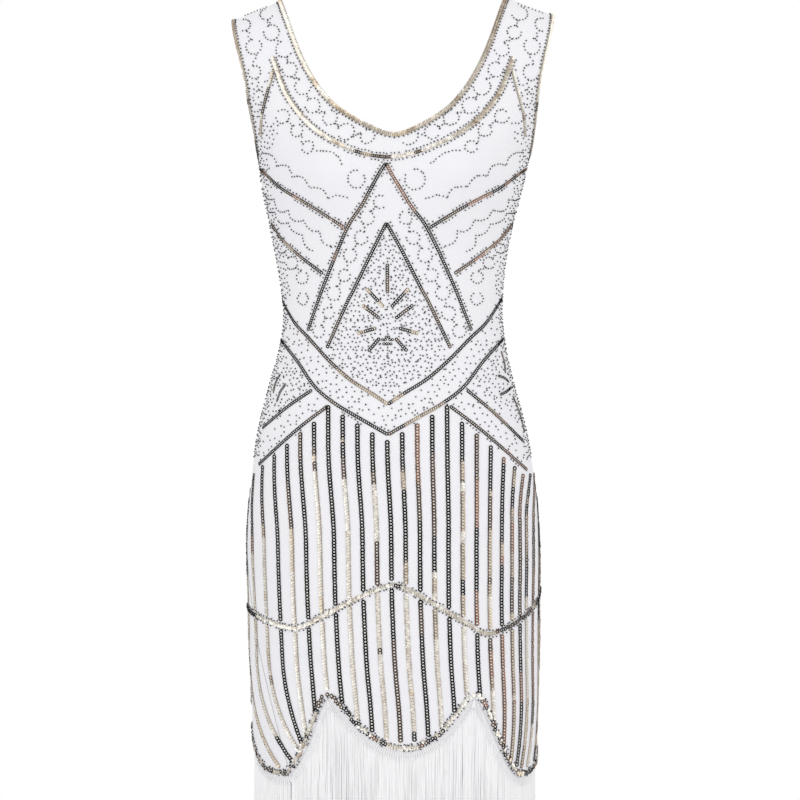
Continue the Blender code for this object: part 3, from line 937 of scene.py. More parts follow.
skirtRows = {
    "pitch": 16.0 * mm,
    "depthShare": 0.7,  # how much of the depth counts in spacing them
    "top": -0.44,
    "foot": -0.90,
    "level": -0.64,  # below this they hang straight down, above it they keep their distances
    "spread": 0.045,
    "spreadTop": -0.51,
    "start": 9 * mm,  # below the lines above
    "waveClear": 6.5 * mm,
    "hemClear": 12 * mm,
    "front": (-11, 13),  # first and last row
    "back": (-14, 14),
    "backTurns": (87, 264),  # where the back's rows are to be at the level
    "backFrom": 86.5,  # rows that swing a little past the left seam are kept beside it
    "besideSeam": 2.0,
    "seamClear": 1.6,  # degrees
    "fewest": 4,
    "offset": -0.7,  # degrees
    "offsetHigh": (-1.3, -0.62, -0.52),  # and more of it, with the heights where it starts and is full
    "offsetLow": (-0.8, -0.70, -0.78),
    "bend": (-0.50, -0.60),
    "right": (-9, -78, 22),  # turn added, where and how wide, by each side seam
    "left": (-14, 88, 25),
    "pull": 26,  # degrees that the pulled seam takes its neighbours along
    "pullFrom": -35,
    "pullWide": 20,
    "pullBack": 45,
    "pullHeights": (-0.76, 0.115),  # where it starts, and how much lower it is full
    "pullLeft": (-8, 84, 30),
    "pullLeftHeights": (-0.79, 0.09),
}


def spacingOf(isBack):
    # turns of a row at some heights, against its distance from the centre line
    turn, table = np.linspace(0, 180, 361), []
    heights = np.linspace(skirtRows["level"], skirtRows["top"], 14)
    for height in heights:
        steps = np.diff(bare(turn, levelAt(np.full(turn.shape, height))), axis=0)
        far = np.concatenate([[0], np.cumsum(np.hypot(steps[:, 0], skirtRows["depthShare"] * steps[:, 1]))])
        table.append(far[-1] - far[::-1] if isBack else far)
    return heights, turn, table


spacings = {isBack: spacingOf(isBack) for isBack in (False, True)}


def pulled(height, start, reach):
    return np.clip((start - height) / reach, 0, 1.1) ** 2


def rowLine(distance, height, isBack):
    # turns of one row: it keeps its distance from the centre line, and low down swings with the side seam
    heights, angles, table = spacings[isBack]
    spread = 1 + skirtRows["spread"] * fade(heights, skirtRows["level"], skirtRows["spreadTop"])
    turns = [np.interp(abs(distance) * wide, far, angles) for wide, far in zip(spread, table)]
    turn = np.interp(height, heights, turns) * (1 if distance > 0 else -1)
    if isBack:
        turn = turn % 360 - 180
        turn = np.where(turn < 0, turn + 360, turn)
    else:
        for add, where, wide in (skirtRows["right"], skirtRows["left"]):
            turn = turn + add * hump(turn, where, wide) * fade(height, *skirtRows["bend"])
        turn = turn + skirtRows["offset"]
        for add, start, end in (skirtRows["offsetHigh"], skirtRows["offsetLow"]):
            turn = turn + add * fade(height, start, end)
    bearing = np.where(turn > 180, turn - 360, turn)
    near = 1 - hump(np.minimum(bearing - skirtRows["pullFrom"], 0), 0, skirtRows["pullWide"])
    near = near * hump(np.minimum(bearing + 90, 0), 0, skirtRows["pullBack"]) * (bearing < 90)
    right = skirtRows["pull"] * near * pulled(height, *skirtRows["pullHeights"])
    add, where, wide = skirtRows["pullLeft"]
    left = add * hump(bearing, where, wide) * pulled(height, *skirtRows["pullLeftHeights"])
    return turn + right + left


def skirtTop(x, isBack):
    # the lowest line of the drawing at a half width
    half = np.abs(x - np.where(isBack, 0, -0.0057)) / mm
    low, hip = np.array(figure["chevronLow"]), np.array(figure["hipLow"])
    chevron = np.interp(half, low[:, 0], low[:, 1])
    return np.where(half < hip[0, 0], chevron, np.interp(half, hip[:, 0], hip[:, 1])) * mm


rowChanges = {
    # where the tones change, in m
    "start": (0.022, 0.036),  # down a pale row, which begins with black
    "after": (0.040, 0.016),  # then bronze: middle and width
    "foot": (0.77, 0.86),  # below the shoulders
    "wave": (0.62, 0.74),
    "warm": (0.06, 0.12),  # towards the wearer's left
    "half": (0.0, 0.03),
    "edge": (0.135, 0.150),  # and right
}


def rowTones(number, run, isFirst):
    # dark and pale rows in turn
    x, z = run.point[:, 0], run.point[:, 2]
    isFront = run.point[:, 1] < 0
    far = (z[0] - z) * isFirst + (1 - isFirst)
    start, after = 1 - fade(far, *rowChanges["start"]), hump(far, *rowChanges["after"])
    foot, warm = fade(-z, *rowChanges["foot"]), fade(x * isFront, *rowChanges["warm"])
    edge = fade(-x * isFront, *rowChanges["edge"])
    half = fade(x * isFront, *rowChanges["half"]) * (1 - fade(-z, *rowChanges["wave"]))
    if number % 2 == 0:
        return toneRuns(len(x), {
            "black": 0.92 * (1 - 0.6 * foot) * (1 - 0.5 * warm) * (1 - 0.7 * edge),
            "bronze": 0.05 + 0.2 * half + 0.2 * warm,
            "copper": 0.01 + 0.05 * half + 0.25 * warm,
            "khaki": 0.005 + 0.1 * half + 0.15 * warm + 0.1 * foot,
            "gold": 0.005 + 0.1 * foot,
            "champagne": 0.005 + 0.15 * foot + 0.4 * edge,
            "cream": 0.005 + 0.2 * foot + 0.4 * edge,
        }, 14)
    return toneRuns(len(x), {
        "black": 0.02 + 40 * start + 0.25 * half + 0.08 * warm,
        "bronze": 0.03 + 3 * after + 0.45 * half + 0.2 * warm,
        "copper": 0.004 + 0.05 * half + 0.2 * warm,
        "khaki": 0.02 + after + 1.6 * half + 0.25 * warm,
        "gold": 0.10 + 0.8 * after + 0.2 * warm,
        "champagne": 0.42 * (1 - 0.75 * half),
        "cream": 0.42 * (1 - 0.8 * warm) * (1 - 0.9 * half),
    }, 7)


def sewSkirt():
    height = np.linspace(skirtRows["top"], skirtRows["foot"], 520)
    clear = skirtRows["seamClear"]
    for isBack in (False, True):
        face = "back" if isBack else "front"
        first, last = skirtRows[face]
        for number in range(first, last + 1):
            distance = number * skirtRows["pitch"] + 1e-9
            turn = rowLine(distance, height, isBack)
            if isBack:
                start = rowLine(distance, np.array([skirtRows["level"]]), True)[0]
                if not skirtRows["backTurns"][0] < start < skirtRows["backTurns"][1]:
                    continue
                onPanel = (turn > skirtRows["backFrom"]) & (turn < 270 - clear)
                turn = np.maximum(turn, 90 + skirtRows["besideSeam"])
            else:
                onPanel = (turn < 90 - clear) & ((turn > clear - 90) | (height < seamPull["top"]))
            point = bare(turn, levelAt(height))
            inside = onPanel & (height < skirtTop(point[:, 0], point[:, 1] > 0) - skirtRows["start"])
            inside &= height > hemHeight(turn) + skirtRows["hemClear"]
            seam = -90 + pulledSeam(height)
            inside &= np.abs(awayFrom(seam, turn)) > clear
            wave = waveHeight(turn)
            above, below = height > wave + skirtRows["waveClear"], height < wave - skirtRows["waveClear"]
            for stretch, isFirst in ((inside & above, 1), (inside & below, 0)):
                if stretch.sum() < skirtRows["fewest"]:
                    continue
                run = evenRun(turn[stretch], levelAt(height[stretch]), sequin["pitch"])
                sewRow(face, run, rowTones(number, run, isFirst))


sewSkirt()
print("skirt rows placed")


# Seed beads: scattered fields and looped trails

strewn = {
    "spacings": (5.2, 7.4),  # mm between beads
    "jitter": 0.36,
    "sequinClear": 3.3 * mm,
    "beadClear": 3 * mm,
    "edgeClear": 3,  # degrees
    "neckClear": 3.5,
    "seamClear": 1,
    "sideFrom": 88.5,
    "crowd": 1.3,  # more of them by the seam
    "aboveHip": 6 * mm,
    "trailPitch": 0.95,
}
fields = (
    # mm between beads, lines above and below, mm kept from each, and half widths from and to
    (5.2, ("inner",), "chevronHigh", 10.5, 6.5, -1, 70),
    (5.2, ("chevronLow",), "hipHigh", 8.0, 7.0, 84, 152),
    (7.4, ("chevronHigh",), "chevronLow", 7.0, 7.0, -1, 126),
    (7.4, ("hipHigh", "chevronLow"), "hipLow", 6.5, 6.5, 72, 154),
)
bySeams = (
    # along the side seams: foot and top, degrees across, mm between beads and how many are tried
    (-0.150, -0.105, 9, 4.8, 150),
    (-0.345, -0.150, 21, 4.6, 1100),
    (-0.530, -0.345, 14, 3.9, 900),
)


def lineHeight(name, half):
    points = curve(figure[name])
    return np.interp(half, points[:, 0], points[:, 1])


def scatter(spacing):
    # a jittered triangular grid over the drawing
    wide, top, down = 320, -255.0, 0.87
    columns, rows = int(wide / spacing), int(wide / (spacing * down))
    x, z = np.meshgrid(np.arange(columns) * spacing - wide / 2, np.arange(rows) * -spacing * down + top)
    x = x + (np.arange(rows) % 2)[:, None] * spacing / 2
    jitter = dice.uniform(-strewn["jitter"], strewn["jitter"], (2, *x.shape)) * spacing
    return (x + jitter[0]).ravel(), (z + jitter[1]).ravel()


def strewBeads(isBack, sequinTree):
    face, middle = ("back", 180) if isBack else ("front", 0)
    for spacing in strewn["spacings"]:
        x, z = scatter(spacing)
        half, kept = np.abs(x), np.zeros(len(x), bool)
        for between, above, below, aboveClear, belowClear, near, far in fields:
            if between == spacing:
                high = np.min([lineHeight(name, half) for name in above], 0) - aboveClear
                low = lineHeight(below, half) + belowClear
                kept |= (z < high) & (z > low) & (half > near) & (half < far)
        points = np.stack([half[kept], z[kept]], 1)
        turn, level = onCloth(points, np.sign(x[kept]), isBack)
        inside = np.abs(awayFrom(middle, turn)) < 90 - strewn["seamClear"]
        point, normal = stations(turn[inside], level[inside])
        free = isClear(point, sequinTree, strewn["sequinClear"])
        strung[face].append(beadRun(point[free], normal[free]))


def strewSides(isBack, sequinTree):
    face, middle = ("back", 180) if isBack else ("front", 0)
    for foot, top, wide, gap, count in bySeams:
        for side in (-1, 1):
            height = dice.uniform(foot, top, count)
            level = levelAt(height)
            edge = np.minimum(edgeTurn(level) - strewn["edgeClear"], strewn["sideFrom"])
            away = edge - wide * dice.random(count) ** strewn["crowd"]
            point, normal = stations(middle + side * away, level)
            hip = lineHeight("hipLow", np.abs(point[:, 0]) / mm) * mm
            isHigh = point[:, 2] > hip + strewn["aboveHip"]
            point, normal = thinned(point[isHigh], normal[isHigh], gap * mm)
            free = isClear(point, sequinTree, strewn["sequinClear"])
            free &= isClear(point, treeOf(strung[face]), strewn["beadClear"])
            strung[face].append(beadRun(point[free], normal[free]))


def thinned(point, normal, reach):
    # drops points that lie closer than reach to one kept before
    kept = []
    for i, place in enumerate(point):
        if all(((place - point[j]) ** 2).sum() > reach * reach for j in kept):
            kept.append(i)
    return point[kept], normal[kept]


def beadRun(point, normal):
    first = unit(np.cross(normal, (0.0, 0.0, 1.0)))
    return SimpleNamespace(
        point=point + normal * bead["lift"], normal=normal, tangent=np.cross(normal, first), side=first
    )


trails = {
    # kind, radius of the rings or depth of the arcs, advance, hand, and guide in mm
    "strapInner": ("rings", 8.6, 25, 1, (
        (150, -12), (141, -36), (125, -68), (111, -98), (97, -121), (80, -141), (61, -156), (40, -167),
        (12, -176),
    )),
    "strapOuter": ("rings", 8.4, 24, -1, (
        (174, -22), (167, -40), (159, -66), (155, -90), (152, -112), (151, -138),
    )),
    "shoulder": ("line", 0, 5, 1, ((130, -5), (150, -13), (181, -24))),
    "underYoke": ("rings", 7.2, 23, -1, ((129, -136), (112, -156), (97, -175), (80, -187))),
    "underYokeLow": ("arcs", 7.0, 19, -1, ((80, -187), (66, -195), (50, -202))),
    "besidePeak": ("rings", 11.0, 24, 1, ((34, -205), (36, -231))),
    "overRayHigh": ("arcs", 6.5, 22, -1, (
        (148, -184), (124, -205), (100, -220), (78, -233), (58, -243), (44, -240),
    )),
    "underRayHigh": ("arcs", 6.5, 22, 1, (
        (148, -222), (128, -240), (106, -255), (86, -268), (70, -280), (62, -292),
    )),
    "betweenRays": ("arcs", 5.0, 19, 1, ((146, -236), (130, -252), (112, -266), (96, -280), (86, -296))),
    "underRayLow": ("rings", 6.5, 20, 1, ((132, -284), (118, -300), (104, -316), (97, -336))),
    "outsideFoot": ("rings", 6.8, 21, -1, ((86, -334), (98, -352), (106, -368))),
    "frame": ("rings", 7.2, 22, 1, (
        (0, -233), (15, -252), (27, -275), (39, -299), (51, -325), (62, -350), (74, -378), (82, -398),
    )),
}
backRaise = ((0, 40, 60, 80, 97, 128), (12, 15, 17, 17, 4, 0))  # half widths, and mm upwards on the back


def trailPath(guide, kind, radius, advance, hand):
    # a wandering path beside a guide: rings with short links between them, or scalloped arcs
    if kind == "line":
        return [guide]
    steps = np.diff(guide, axis=0)
    far = np.concatenate([[0], np.cumsum(np.hypot(*steps.T))])

    def at(place):
        middle, ahead, back = (
            np.stack([np.interp(place + step, far, guide[:, i]) for i in (0, 1)], -1) for step in (0, 1, -1)
        )
        along = unit(ahead - back)
        return middle, along, along[..., ::-1] * (-hand, hand)

    count = max(int(far[-1] / advance), 1)
    if kind == "arcs":
        place = np.linspace(0, far[-1], 60 * count)
        middle, along, across = at(place)
        bow = np.abs(np.sin(math.pi * place / far[-1] * count + dice.uniform(-0.2, 0.2))) ** 0.8
        bow = bow * radius * (1 + 0.2 * np.sin(place / 11 + dice.uniform(0, 6)))
        return [middle + across * bow[:, None]]
    paths, before = [], None
    for number in range(count):
        middle, along, across = at((number + 0.5) * far[-1] / count)
        size, flip = radius * dice.uniform(0.88, 1.12), 1 if number % 2 else -1
        middle = middle + across * flip * radius * 0.22
        angle = math.pi + flip * np.linspace(0, math.radians(300), 40)
        ring = middle + size * (np.cos(angle)[:, None] * along + np.sin(angle)[:, None] * across)
        paths.append(ring)
        if before is not None:
            share = np.linspace(0, 1, 12)[1:-1, None]
            link = before + (ring[0] - before) * share
            paths.append(link + across * np.sin(math.pi * 2 * share) * radius * 0.25)
        before = middle + size * along
    return paths


def trailBeads(isBack, sequinTree):
    face, middle, outline = ("back", 180, neckBack) if isBack else ("front", 0, neckFront)
    for name, (*settings, guide) in trails.items():
        line = curve(guide)
        if isBack and name == "strapInner":
            up = np.interp(line[:, 0], *backRaise)
            line = line + np.stack([0 * up, up], 1)
        for side in (-1, 1):
            for points in trailPath(line, *settings):
                points[:, 0] = np.maximum(points[:, 0], 1.0)
                turn, level = onCloth(points, side, isBack)
                around = np.abs(awayFrom(middle, turn + twistAt(sectionAt(level).height)))
                inside = around < edgeTurn(level) - strewn["edgeClear"]
                inside &= around > neckTurn(outline, level) + strewn["neckClear"]
                if inside.sum() < 5:
                    continue
                run = evenRun(turn[inside], level[inside], bead["pitch"] * strewn["trailPitch"])
                run = picked(run, isClear(run.point, sequinTree, strewn["sequinClear"]))
                if len(run.point):
                    stringRow(face, run, 0.0)


for isBack in (False, True):
    sequinTree = treeOf([row for row, tone, size in sewn["back" if isBack else "front"]])
    strewBeads(isBack, sequinTree)
    trailBeads(isBack, sequinTree)
    strewSides(isBack, sequinTree)
print("beads placed")

for face in ("front", "back"):
    run = joinRuns([row for row, tone, size in sewn[face]])
    tone, size = (np.concatenate([row[i] for row in sewn[face]]) for i in (1, 2))
    size = size * dice.normal(1, sequin["uneven"], len(size))
    isPale = tone >= toneNames.index("khaki")
    for name, chosen, slot in (("dark", ~isPale, "dark_sequins"), ("pale", isPale, "pale_sequins")):
        heap = Heap()
        stamp(heap, sequinForm, picked(run, chosen), tone[chosen], isSmooth=False, size=size[chosen])
        heap.piece(name + "Sequins" + face.title(), list(tones.values()), slot)
    heap = Heap()
    run = joinRuns(strung[face])
    which = (dice.random(len(run.point)) < bead["smoke"]).astype(int)
    stamp(heap, beadForm, run, which, size=dice.normal(1, bead["uneven"], len(run.point)))
    heap.piece("beads" + face.title(), beadFinishes, "beads")


# Cloth

panel = {
    "thick": 1.1 * mm,
    "halfColumns": 44,
    "hemRows": 26,
    "hemTop": 2,  # the section up to which rows bend with the scallops
    "step": 5.2 * mm,
    "apart": 0.03,  # between the levels of two rows
    "gap": 0.15 * mm,  # at the seams
}


def shell(heap, grids, thick):
    # closed walls on grids of points and normals whose rows run upwards and towards the wearer's left
    points = np.concatenate([grid[0].reshape(-1, 3) for grid in grids])
    normals = np.concatenate([grid[1].reshape(-1, 3) for grid in grids])
    _, first, same = np.unique(np.round(points, 7), axis=0, return_index=True, return_inverse=True)
    same = same.reshape(-1)
    points, normals, count = points[first], normals[first], len(first)
    quads, offset = [], 0
    for grid in grids:
        rows, columns = grid[0].shape[:2]
        index = same[offset:offset + rows * columns].reshape(rows, columns)
        near, far = index[:-1], index[1:]
        quads.append(np.stack([near[:, :-1], near[:, 1:], far[:, 1:], far[:, :-1]], -1).reshape(-1, 4))
        offset += rows * columns
    quads = np.concatenate(quads)
    four = [len(set(quad)) == 4 for quad in quads.tolist()]
    quads = quads[four]
    starts, ends = quads.ravel(), np.roll(quads, -1, 1).ravel()
    isRim = ~np.isin(starts * count + ends, ends * count + starts)
    starts, ends = starts[isRim], ends[isRim]
    rim = np.stack([ends, starts, starts + count, ends + count], 1)
    faces = np.vstack([quads, quads[:, ::-1] + count, rim])
    finish = np.repeat([0, 1, 0], [len(quads), len(quads), len(rim)])
    heap.add(np.vstack([points, points - normals * thick]), faces, finish)


def seamOf(middle, side, height):
    # degrees from the panel's centre to its side seam
    isPulled = side < 0 if middle == 0 else side > 0
    pull = pulledSeam(height) if isPulled else 0 * height
    return 90 - pull if middle == 0 else 90 + pull


def rowLevels(foot):
    # levels of a panel's rows: even steps, and finer ones above the neck's foot and the underarm
    places, knots = np.linspace(0, shoulder, 4000), np.arange(shoulder + 1)
    heights, asides = np.interp(places, knots, sections[:, 0]), np.interp(places, knots, sections[:, 2])
    far = np.concatenate([[0], np.cumsum(np.hypot(np.diff(heights), np.diff(asides)))])
    start = np.interp(panel["hemTop"], places, far)
    rows = np.interp(np.arange(start, far[-1], panel["step"]), far, places)
    overNeck = foot + 0.3 * np.linspace(0.05, 1, 10) ** 2
    overArm = underarm + np.linspace(0.03, 1, 10) ** 1.5
    fixed = [foot, underarm, shoulder, *overNeck, *overArm]
    rows = [level for level in rows if min(abs(level - other) for other in fixed) > panel["apart"]]
    return np.array(sorted(fixed + rows))


def panelGrids(middle, outline):
    shares = np.arange(-panel["halfColumns"], panel["halfColumns"] + 1) / panel["halfColumns"]

    def edges(height):
        right, left = seamOf(middle, -1, height), seamOf(middle, 1, height)
        return np.where(shares < 0, right, left)

    # the lowest rows follow the scallops and flatten upwards
    top = sections[panel["hemTop"]][0]
    turns, levels = [], []
    for share in np.linspace(0, 1, panel["hemRows"], endpoint=False):
        height = np.full(shares.shape, -0.85)
        for _ in range(12):  # a seam that swings and the hem's height settle together
            turn = middle + shares * edges(height)
            low = hemHeight(turn)
            height = low + share * (top - low)
        turns.append(turn)
        levels.append(levelAt(height))
    foot = neckFoot(outline)
    rows = rowLevels(foot)

    # above the neck's foot each side of the panel is a strap of its own
    def rowAt(level, side):
        near, far = float(neckTurn(outline, np.float64(level))), float(edgeTurn(np.float64(level)))
        height = sectionAt(level).height
        if level <= underarm:
            far = float(seamOf(middle, side, height))
        steps = np.arange(panel["halfColumns"] + 1)
        return middle + side * (near + (far - near) * steps / panel["halfColumns"])

    for level in rows[rows <= foot]:
        turns.append(np.concatenate([rowAt(level, -1)[::-1], rowAt(level, 1)[1:]]))
        levels.append(np.full(len(shares), level))
    grids = [stations(np.array(turns), np.array(levels))]
    straps = rows[rows >= foot]
    for side in (1, -1):
        turn = np.array([rowAt(level, side)[::side] for level in straps])
        grids.append(stations(turn, np.broadcast_to(straps[:, None], turn.shape)))
    for number, (points, _) in enumerate(grids):
        drawn = np.full(len(points), True) if number == 0 else straps <= underarm
        for edge, beside in ((0, 1), (-1, -2)):
            isSeam = drawn if number == 0 or (edge == -1) == (number == 1) else drawn & False
            points[isSeam, edge] += unit(points[isSeam, beside] - points[isSeam, edge]) * panel["gap"]
        if number:
            points[-1, :, 1] += panel["gap"] * (1 if middle else -1)
    return grids


panels = (("Front", 0, neckFront, "front_panel"), ("Back", 180, neckBack, "back_panel"))
for face, middle, outline, node in panels:
    heap = Heap()
    shell(heap, panelGrids(middle, outline), panel["thick"])
    made = heap.piece("cloth" + face, [cloth, lining], "cloth", [node])
    made.data.set_sharp_from_angle(angle=math.radians(50))
    0.305 if middle == 0 else 0.312
print("cloth made")


# Bands

bands = {
    "thick": 0.55 * mm,
    "lift": 0.12 * mm,
    "step": 2.2 * mm,
    "bevel": 0.5 * mm,
    "sequinLift": 0.45 * mm,  # over the tape
    "uneven": 0.04,
}


def bandProfile(near, far):
    low, high, bevel = bands["lift"], bands["lift"] + bands["thick"], bands["bevel"]
    top = (near + bevel, high * 0.9), ((near + far) / 2, high), (far - bevel, high * 0.9)
    return [(near, low), *top, (far, low)]


def makeBand(name, places, node, settings, ground):
    # a tape with overlapping sequins on it and beads beside them
    heap = Heap()
    profile = bandProfile(settings["edge"], settings["edge"] + settings["wide"])
    sweep(heap, evenRun(*places, bands["step"], isClosed=True), profile, True, len(tones))
    spaced = evenRun(*places, settings["pitch"], isClosed=True)
    ragged = dice.normal(0, settings["ragged"], (len(spaced.point), 1))
    lift = bands["lift"] + bands["thick"] + bands["sequinLift"]
    line = laid(moved(spaced, settings["row"] + ragged), lift, *settings["lean"])
    tone = toneRuns(len(line.point), settings["recipe"](line.point[:, 0]), settings["run"])
    size = settings["size"] * dice.normal(1, bands["uneven"], len(tone))
    stamp(heap, sequinForm, line, tone, isSmooth=False, size=size)
    for aside in settings["beads"]:
        beadLine = moved(evenRun(*places, bead["pitch"], isClosed=True), aside, bead["lift"])
        beadLine = picked(beadLine, dice.random(len(beadLine.point)) < settings["beadShare"])
        for way in (beadLine.side, beadLine.tangent):
            beadLine.point += way * dice.normal(0, settings["loose"], (len(beadLine.point), 1))
        stamp(heap, beadForm, beadLine, len(tones) + 1)
    return heap.piece(name, [*tones.values(), ground, beadFinishes[0]], "sequin_band", [node])


def rimLevels(foot):
    # from the foot of an opening to the shoulder, closer together at the foot
    return foot + (shoulder - foot) * np.linspace(0, 1, 500) ** 2


frontRise, backRise = rimLevels(neckFoot(neckFront)), rimLevels(neckFoot(neckBack))
frontEdge, backEdge = neckTurn(neckFront, frontRise), neckTurn(neckBack, backRise)
neckPlaces = (
    np.concatenate([frontEdge, (180 - backEdge)[::-1], (180 + backEdge)[1:], (360 - frontEdge)[::-1][:-1]]),
    np.concatenate([frontRise, backRise[::-1], backRise[1:], frontRise[::-1][:-1]]),
)
neckLook = {
    "wide": 5.6 * mm,
    "edge": 0.4 * mm,
    "pitch": 2.2 * mm,
    "row": 2.9 * mm,
    "ragged": 0.1 * mm,
    "lean": (15, 5),  # degrees, and its chance
    "size": 0.9,
    "run": 8,
    "beads": (6.6 * mm,),
    "beadShare": 0.97,
    "loose": 0.2 * mm,
    "recipe": lambda x: {"champagne": 0.5, "cream": 0.27, "gold": 0.23},
}
makeBand("neckBand", neckPlaces, "neck_trim", neckLook, braid)

armholeLook = {
    **neckLook,
    "wide": 3.6 * mm,
    "edge": 0.3 * mm,
    "row": 1.9 * mm,
    "size": 0.68,
    "run": 5,
    "beads": (4.8 * mm,),
    "recipe": lambda x: {"champagne": 0.5, "cream": 0.32, "gold": 0.12, "bronze": 0.05, "copper": 0.01},
}
rise = rimLevels(underarm)
armholes = (("armholeBandLeft", "armhole_trim_left", 1), ("armholeBandRight", "armhole_trim_right", -1))
for name, node, hand in armholes:
    ring = np.concatenate([edgeTurn(rise)[::-1], (180 - edgeTurn(rise))[1:-1]]) * hand
    levels = np.concatenate([rise[::-1], rise[1:-1]])
    places = (ring, levels) if hand > 0 else (ring[::-1], levels[::-1])
    makeBand(name, places, node, armholeLook, braid)


def waveTones(x):
    # darker towards the wearer's left, at the far right and beside the middle
    left, right = fade(x, 0.10, 0.13), fade(-x, 0.150, 0.158)
    beside = fade(x, 0.0, 0.004) * fade(-x, -0.026, -0.02)
    return {
        "cream": 0.6,
        "champagne": 0.3,
        "khaki": 1.5 * fade(-x, 0.118, 0.124) * fade(x, -0.137, -0.131),
        "bronze": 0.8 * left + 0.8 * right + 4 * beside,
        "black": 0.8 * left + 0.4 * right + 2 * beside,
        "copper": 0.5 * left,
    }


waveLook = {
    "wide": 4.4 * mm,
    "edge": -2.2 * mm,
    "pitch": 2.7 * mm,
    "row": 0.0,
    "ragged": 0.35 * mm,
    "lean": (17, 10),
    "size": 0.84,
    "run": 5,
    "beads": (-3.6 * mm, 3.6 * mm),
    "beadShare": 0.9,
    "loose": 0.5 * mm,
    "recipe": waveTones,
}
turn = np.linspace(0, 360, 1441)[:-1]
makeBand("waveBand", (turn, levelAt(waveHeight(turn))), "wave_trim", waveLook, braid)

hemLook = {
    "wide": 5.6 * mm,
    "edge": 1.4 * mm,
    "pitch": 3.0 * mm,
    "row": 4.2 * mm,
    "ragged": 0.8 * mm,
    "lean": (13, 9),
    "size": 0.85,
    "run": 2,
    "beads": (0.9 * mm, 2.4 * mm, 6.4 * mm, 8.0 * mm),
    "beadShare": 0.66,
    "loose": 0.7 * mm,
    "recipe": lambda x: {
        "black": 0.2, "bronze": 0.13, "copper": 0.06, "gold": 0.16, "champagne": 0.22, "cream": 0.23,
    },
}
turn = np.linspace(360, 0, 2161)[:-1]
makeBand("hemBand", (turn, levelAt(hemHeight(turn))), "hem_trim", hemLook, cloth)
print("bands made")


stitch = {
    "top": -0.59,
    "foot": -0.895,
    "hemClear": 9 * mm,
    "pitch": 1.1 * mm,
    "half": 0.42 * mm,  # of its length
    "radius": 0.28 * mm,
    "lift": 0.25 * mm,
}


def stitchSeam():
    # grey stitches along the side seam that swings forward
    heap, height = Heap(), np.linspace(stitch["top"], stitch["foot"], 400)
    turn = -90 + pulledSeam(height)
    kept = height > hemHeight(turn) + stitch["hemClear"]
    run = evenRun(turn[kept], levelAt(height[kept]), stitch["pitch"])
    middle, half = run.point + run.normal * stitch["lift"], run.tangent * stitch["half"]
    tubes(heap, np.stack([middle - half, middle + half], 1), stitch["radius"], 4)
    heap.piece("seamStitches", [seamThread], "cloth")


stitchSeam()


# Fringe

fringe = {
    "behind": 2.4 * mm,
    "tapeUp": 5 * mm,
    "tapeDown": 7.2 * mm,
    "tapeOut": 0.7 * mm,  # its face lies this far before the strands
    "tapeThick": 0.6 * mm,
    "tapeStep": 2 * mm,
    "loopOut": 1.2 * mm,
    "loopLong": 8.8 * mm,
    "loopFall": 1.6 * mm,
    "loopPitch": 2.45 * mm,
    "loopRadius": 0.7 * mm,
    "startDown": 5 * mm,
    "long": 121 * mm,
    # the layers further back take the greyer threads more often: painted shade among the strands
    "layers": ((0.1, 1.0, 0), (-0.4, 1.0, 1), (-0.9, 1.15, 1)),  # mm forward, mm pitch, thread
    "radius": 0.55 * mm,
    "points": 5,
    "jitter": 0.18,
    "uneven": 0.012,
    "loopUneven": (0.88, 1.1),
    "sway": 0.9 * mm,
    "swing": (0.1, 0.6),  # mm
    "inOut": 0.8 * mm,
}


def hemRun(middle, pitch):
    # along the scalloped edge, from one side seam to the other
    ends = []
    for side in (-1, 1):
        height = np.float64(-0.88)
        for _ in range(12):
            height = hemHeight(middle + side * seamOf(middle, side, height))
        ends.append(middle + side * float(seamOf(middle, side, height)))
    turn = np.linspace(*ends, 1600)
    return evenRun(turn, levelAt(hemHeight(turn)), pitch, margin=0.6 * mm)


def strandLines(middle, pitch, forward):
    # plumb threads, evenly spaced as seen from above
    ends = hemRun(middle, 1 * mm)
    flat = ends.point * (1, 1, 0)
    far = np.concatenate([[0], np.cumsum(np.linalg.norm(np.diff(flat, axis=0), axis=1))])
    count = int(far[-1] / pitch)
    jitter = dice.uniform(-fringe["jitter"], fringe["jitter"], count) * pitch
    wanted = far[-1] * (np.arange(count) + 0.5) / count + jitter
    point = np.stack([np.interp(wanted, far, ends.point[:, i]) for i in range(3)], 1)
    normal = np.stack([np.interp(wanted, far, ends.normal[:, i]) for i in range(3)], 1)
    normal = unit(normal * (1, 1, 0))
    along = np.cross((0.0, 0.0, 1.0), normal)
    start = point + normal * (forward - fringe["behind"]) - (0, 0, fringe["startDown"])
    share = np.linspace(0, 1, fringe["points"])[None, :, None]
    each = (count, 1, 1)
    long = fringe["long"] * (1 - np.abs(dice.normal(0, fringe["uneven"], each)))
    sway = dice.normal(0, fringe["sway"], each) * share**1.5
    phase, swing = dice.uniform(0, 6.28, each), dice.uniform(*fringe["swing"], each) * mm
    sway = sway + swing * np.sin(phase + share * dice.uniform(3, 8, each))
    inOut = dice.normal(0, fringe["inOut"], each) * share
    down = np.array((0, 0, -1.0)) * long * share
    return start[:, None] + along[:, None] * sway + normal[:, None] * inOut + down


def loops(heap, middle):
    # bights of thread square to the edge, from which the strands hang
    run = hemRun(middle, fringe["loopPitch"])
    share = np.linspace(0, 1, 6)[None, :, None]
    root = (run.point - run.normal * (fringe["behind"] - fringe["loopOut"]))[:, None]
    length = fringe["loopLong"] * dice.uniform(*fringe["loopUneven"], (len(root), 1, 1))
    path = root + run.side[:, None] * length * share - np.array((0, 0, fringe["loopFall"])) * share**2
    tubes(heap, path[:, ::-1], fringe["loopRadius"], 5, 1)


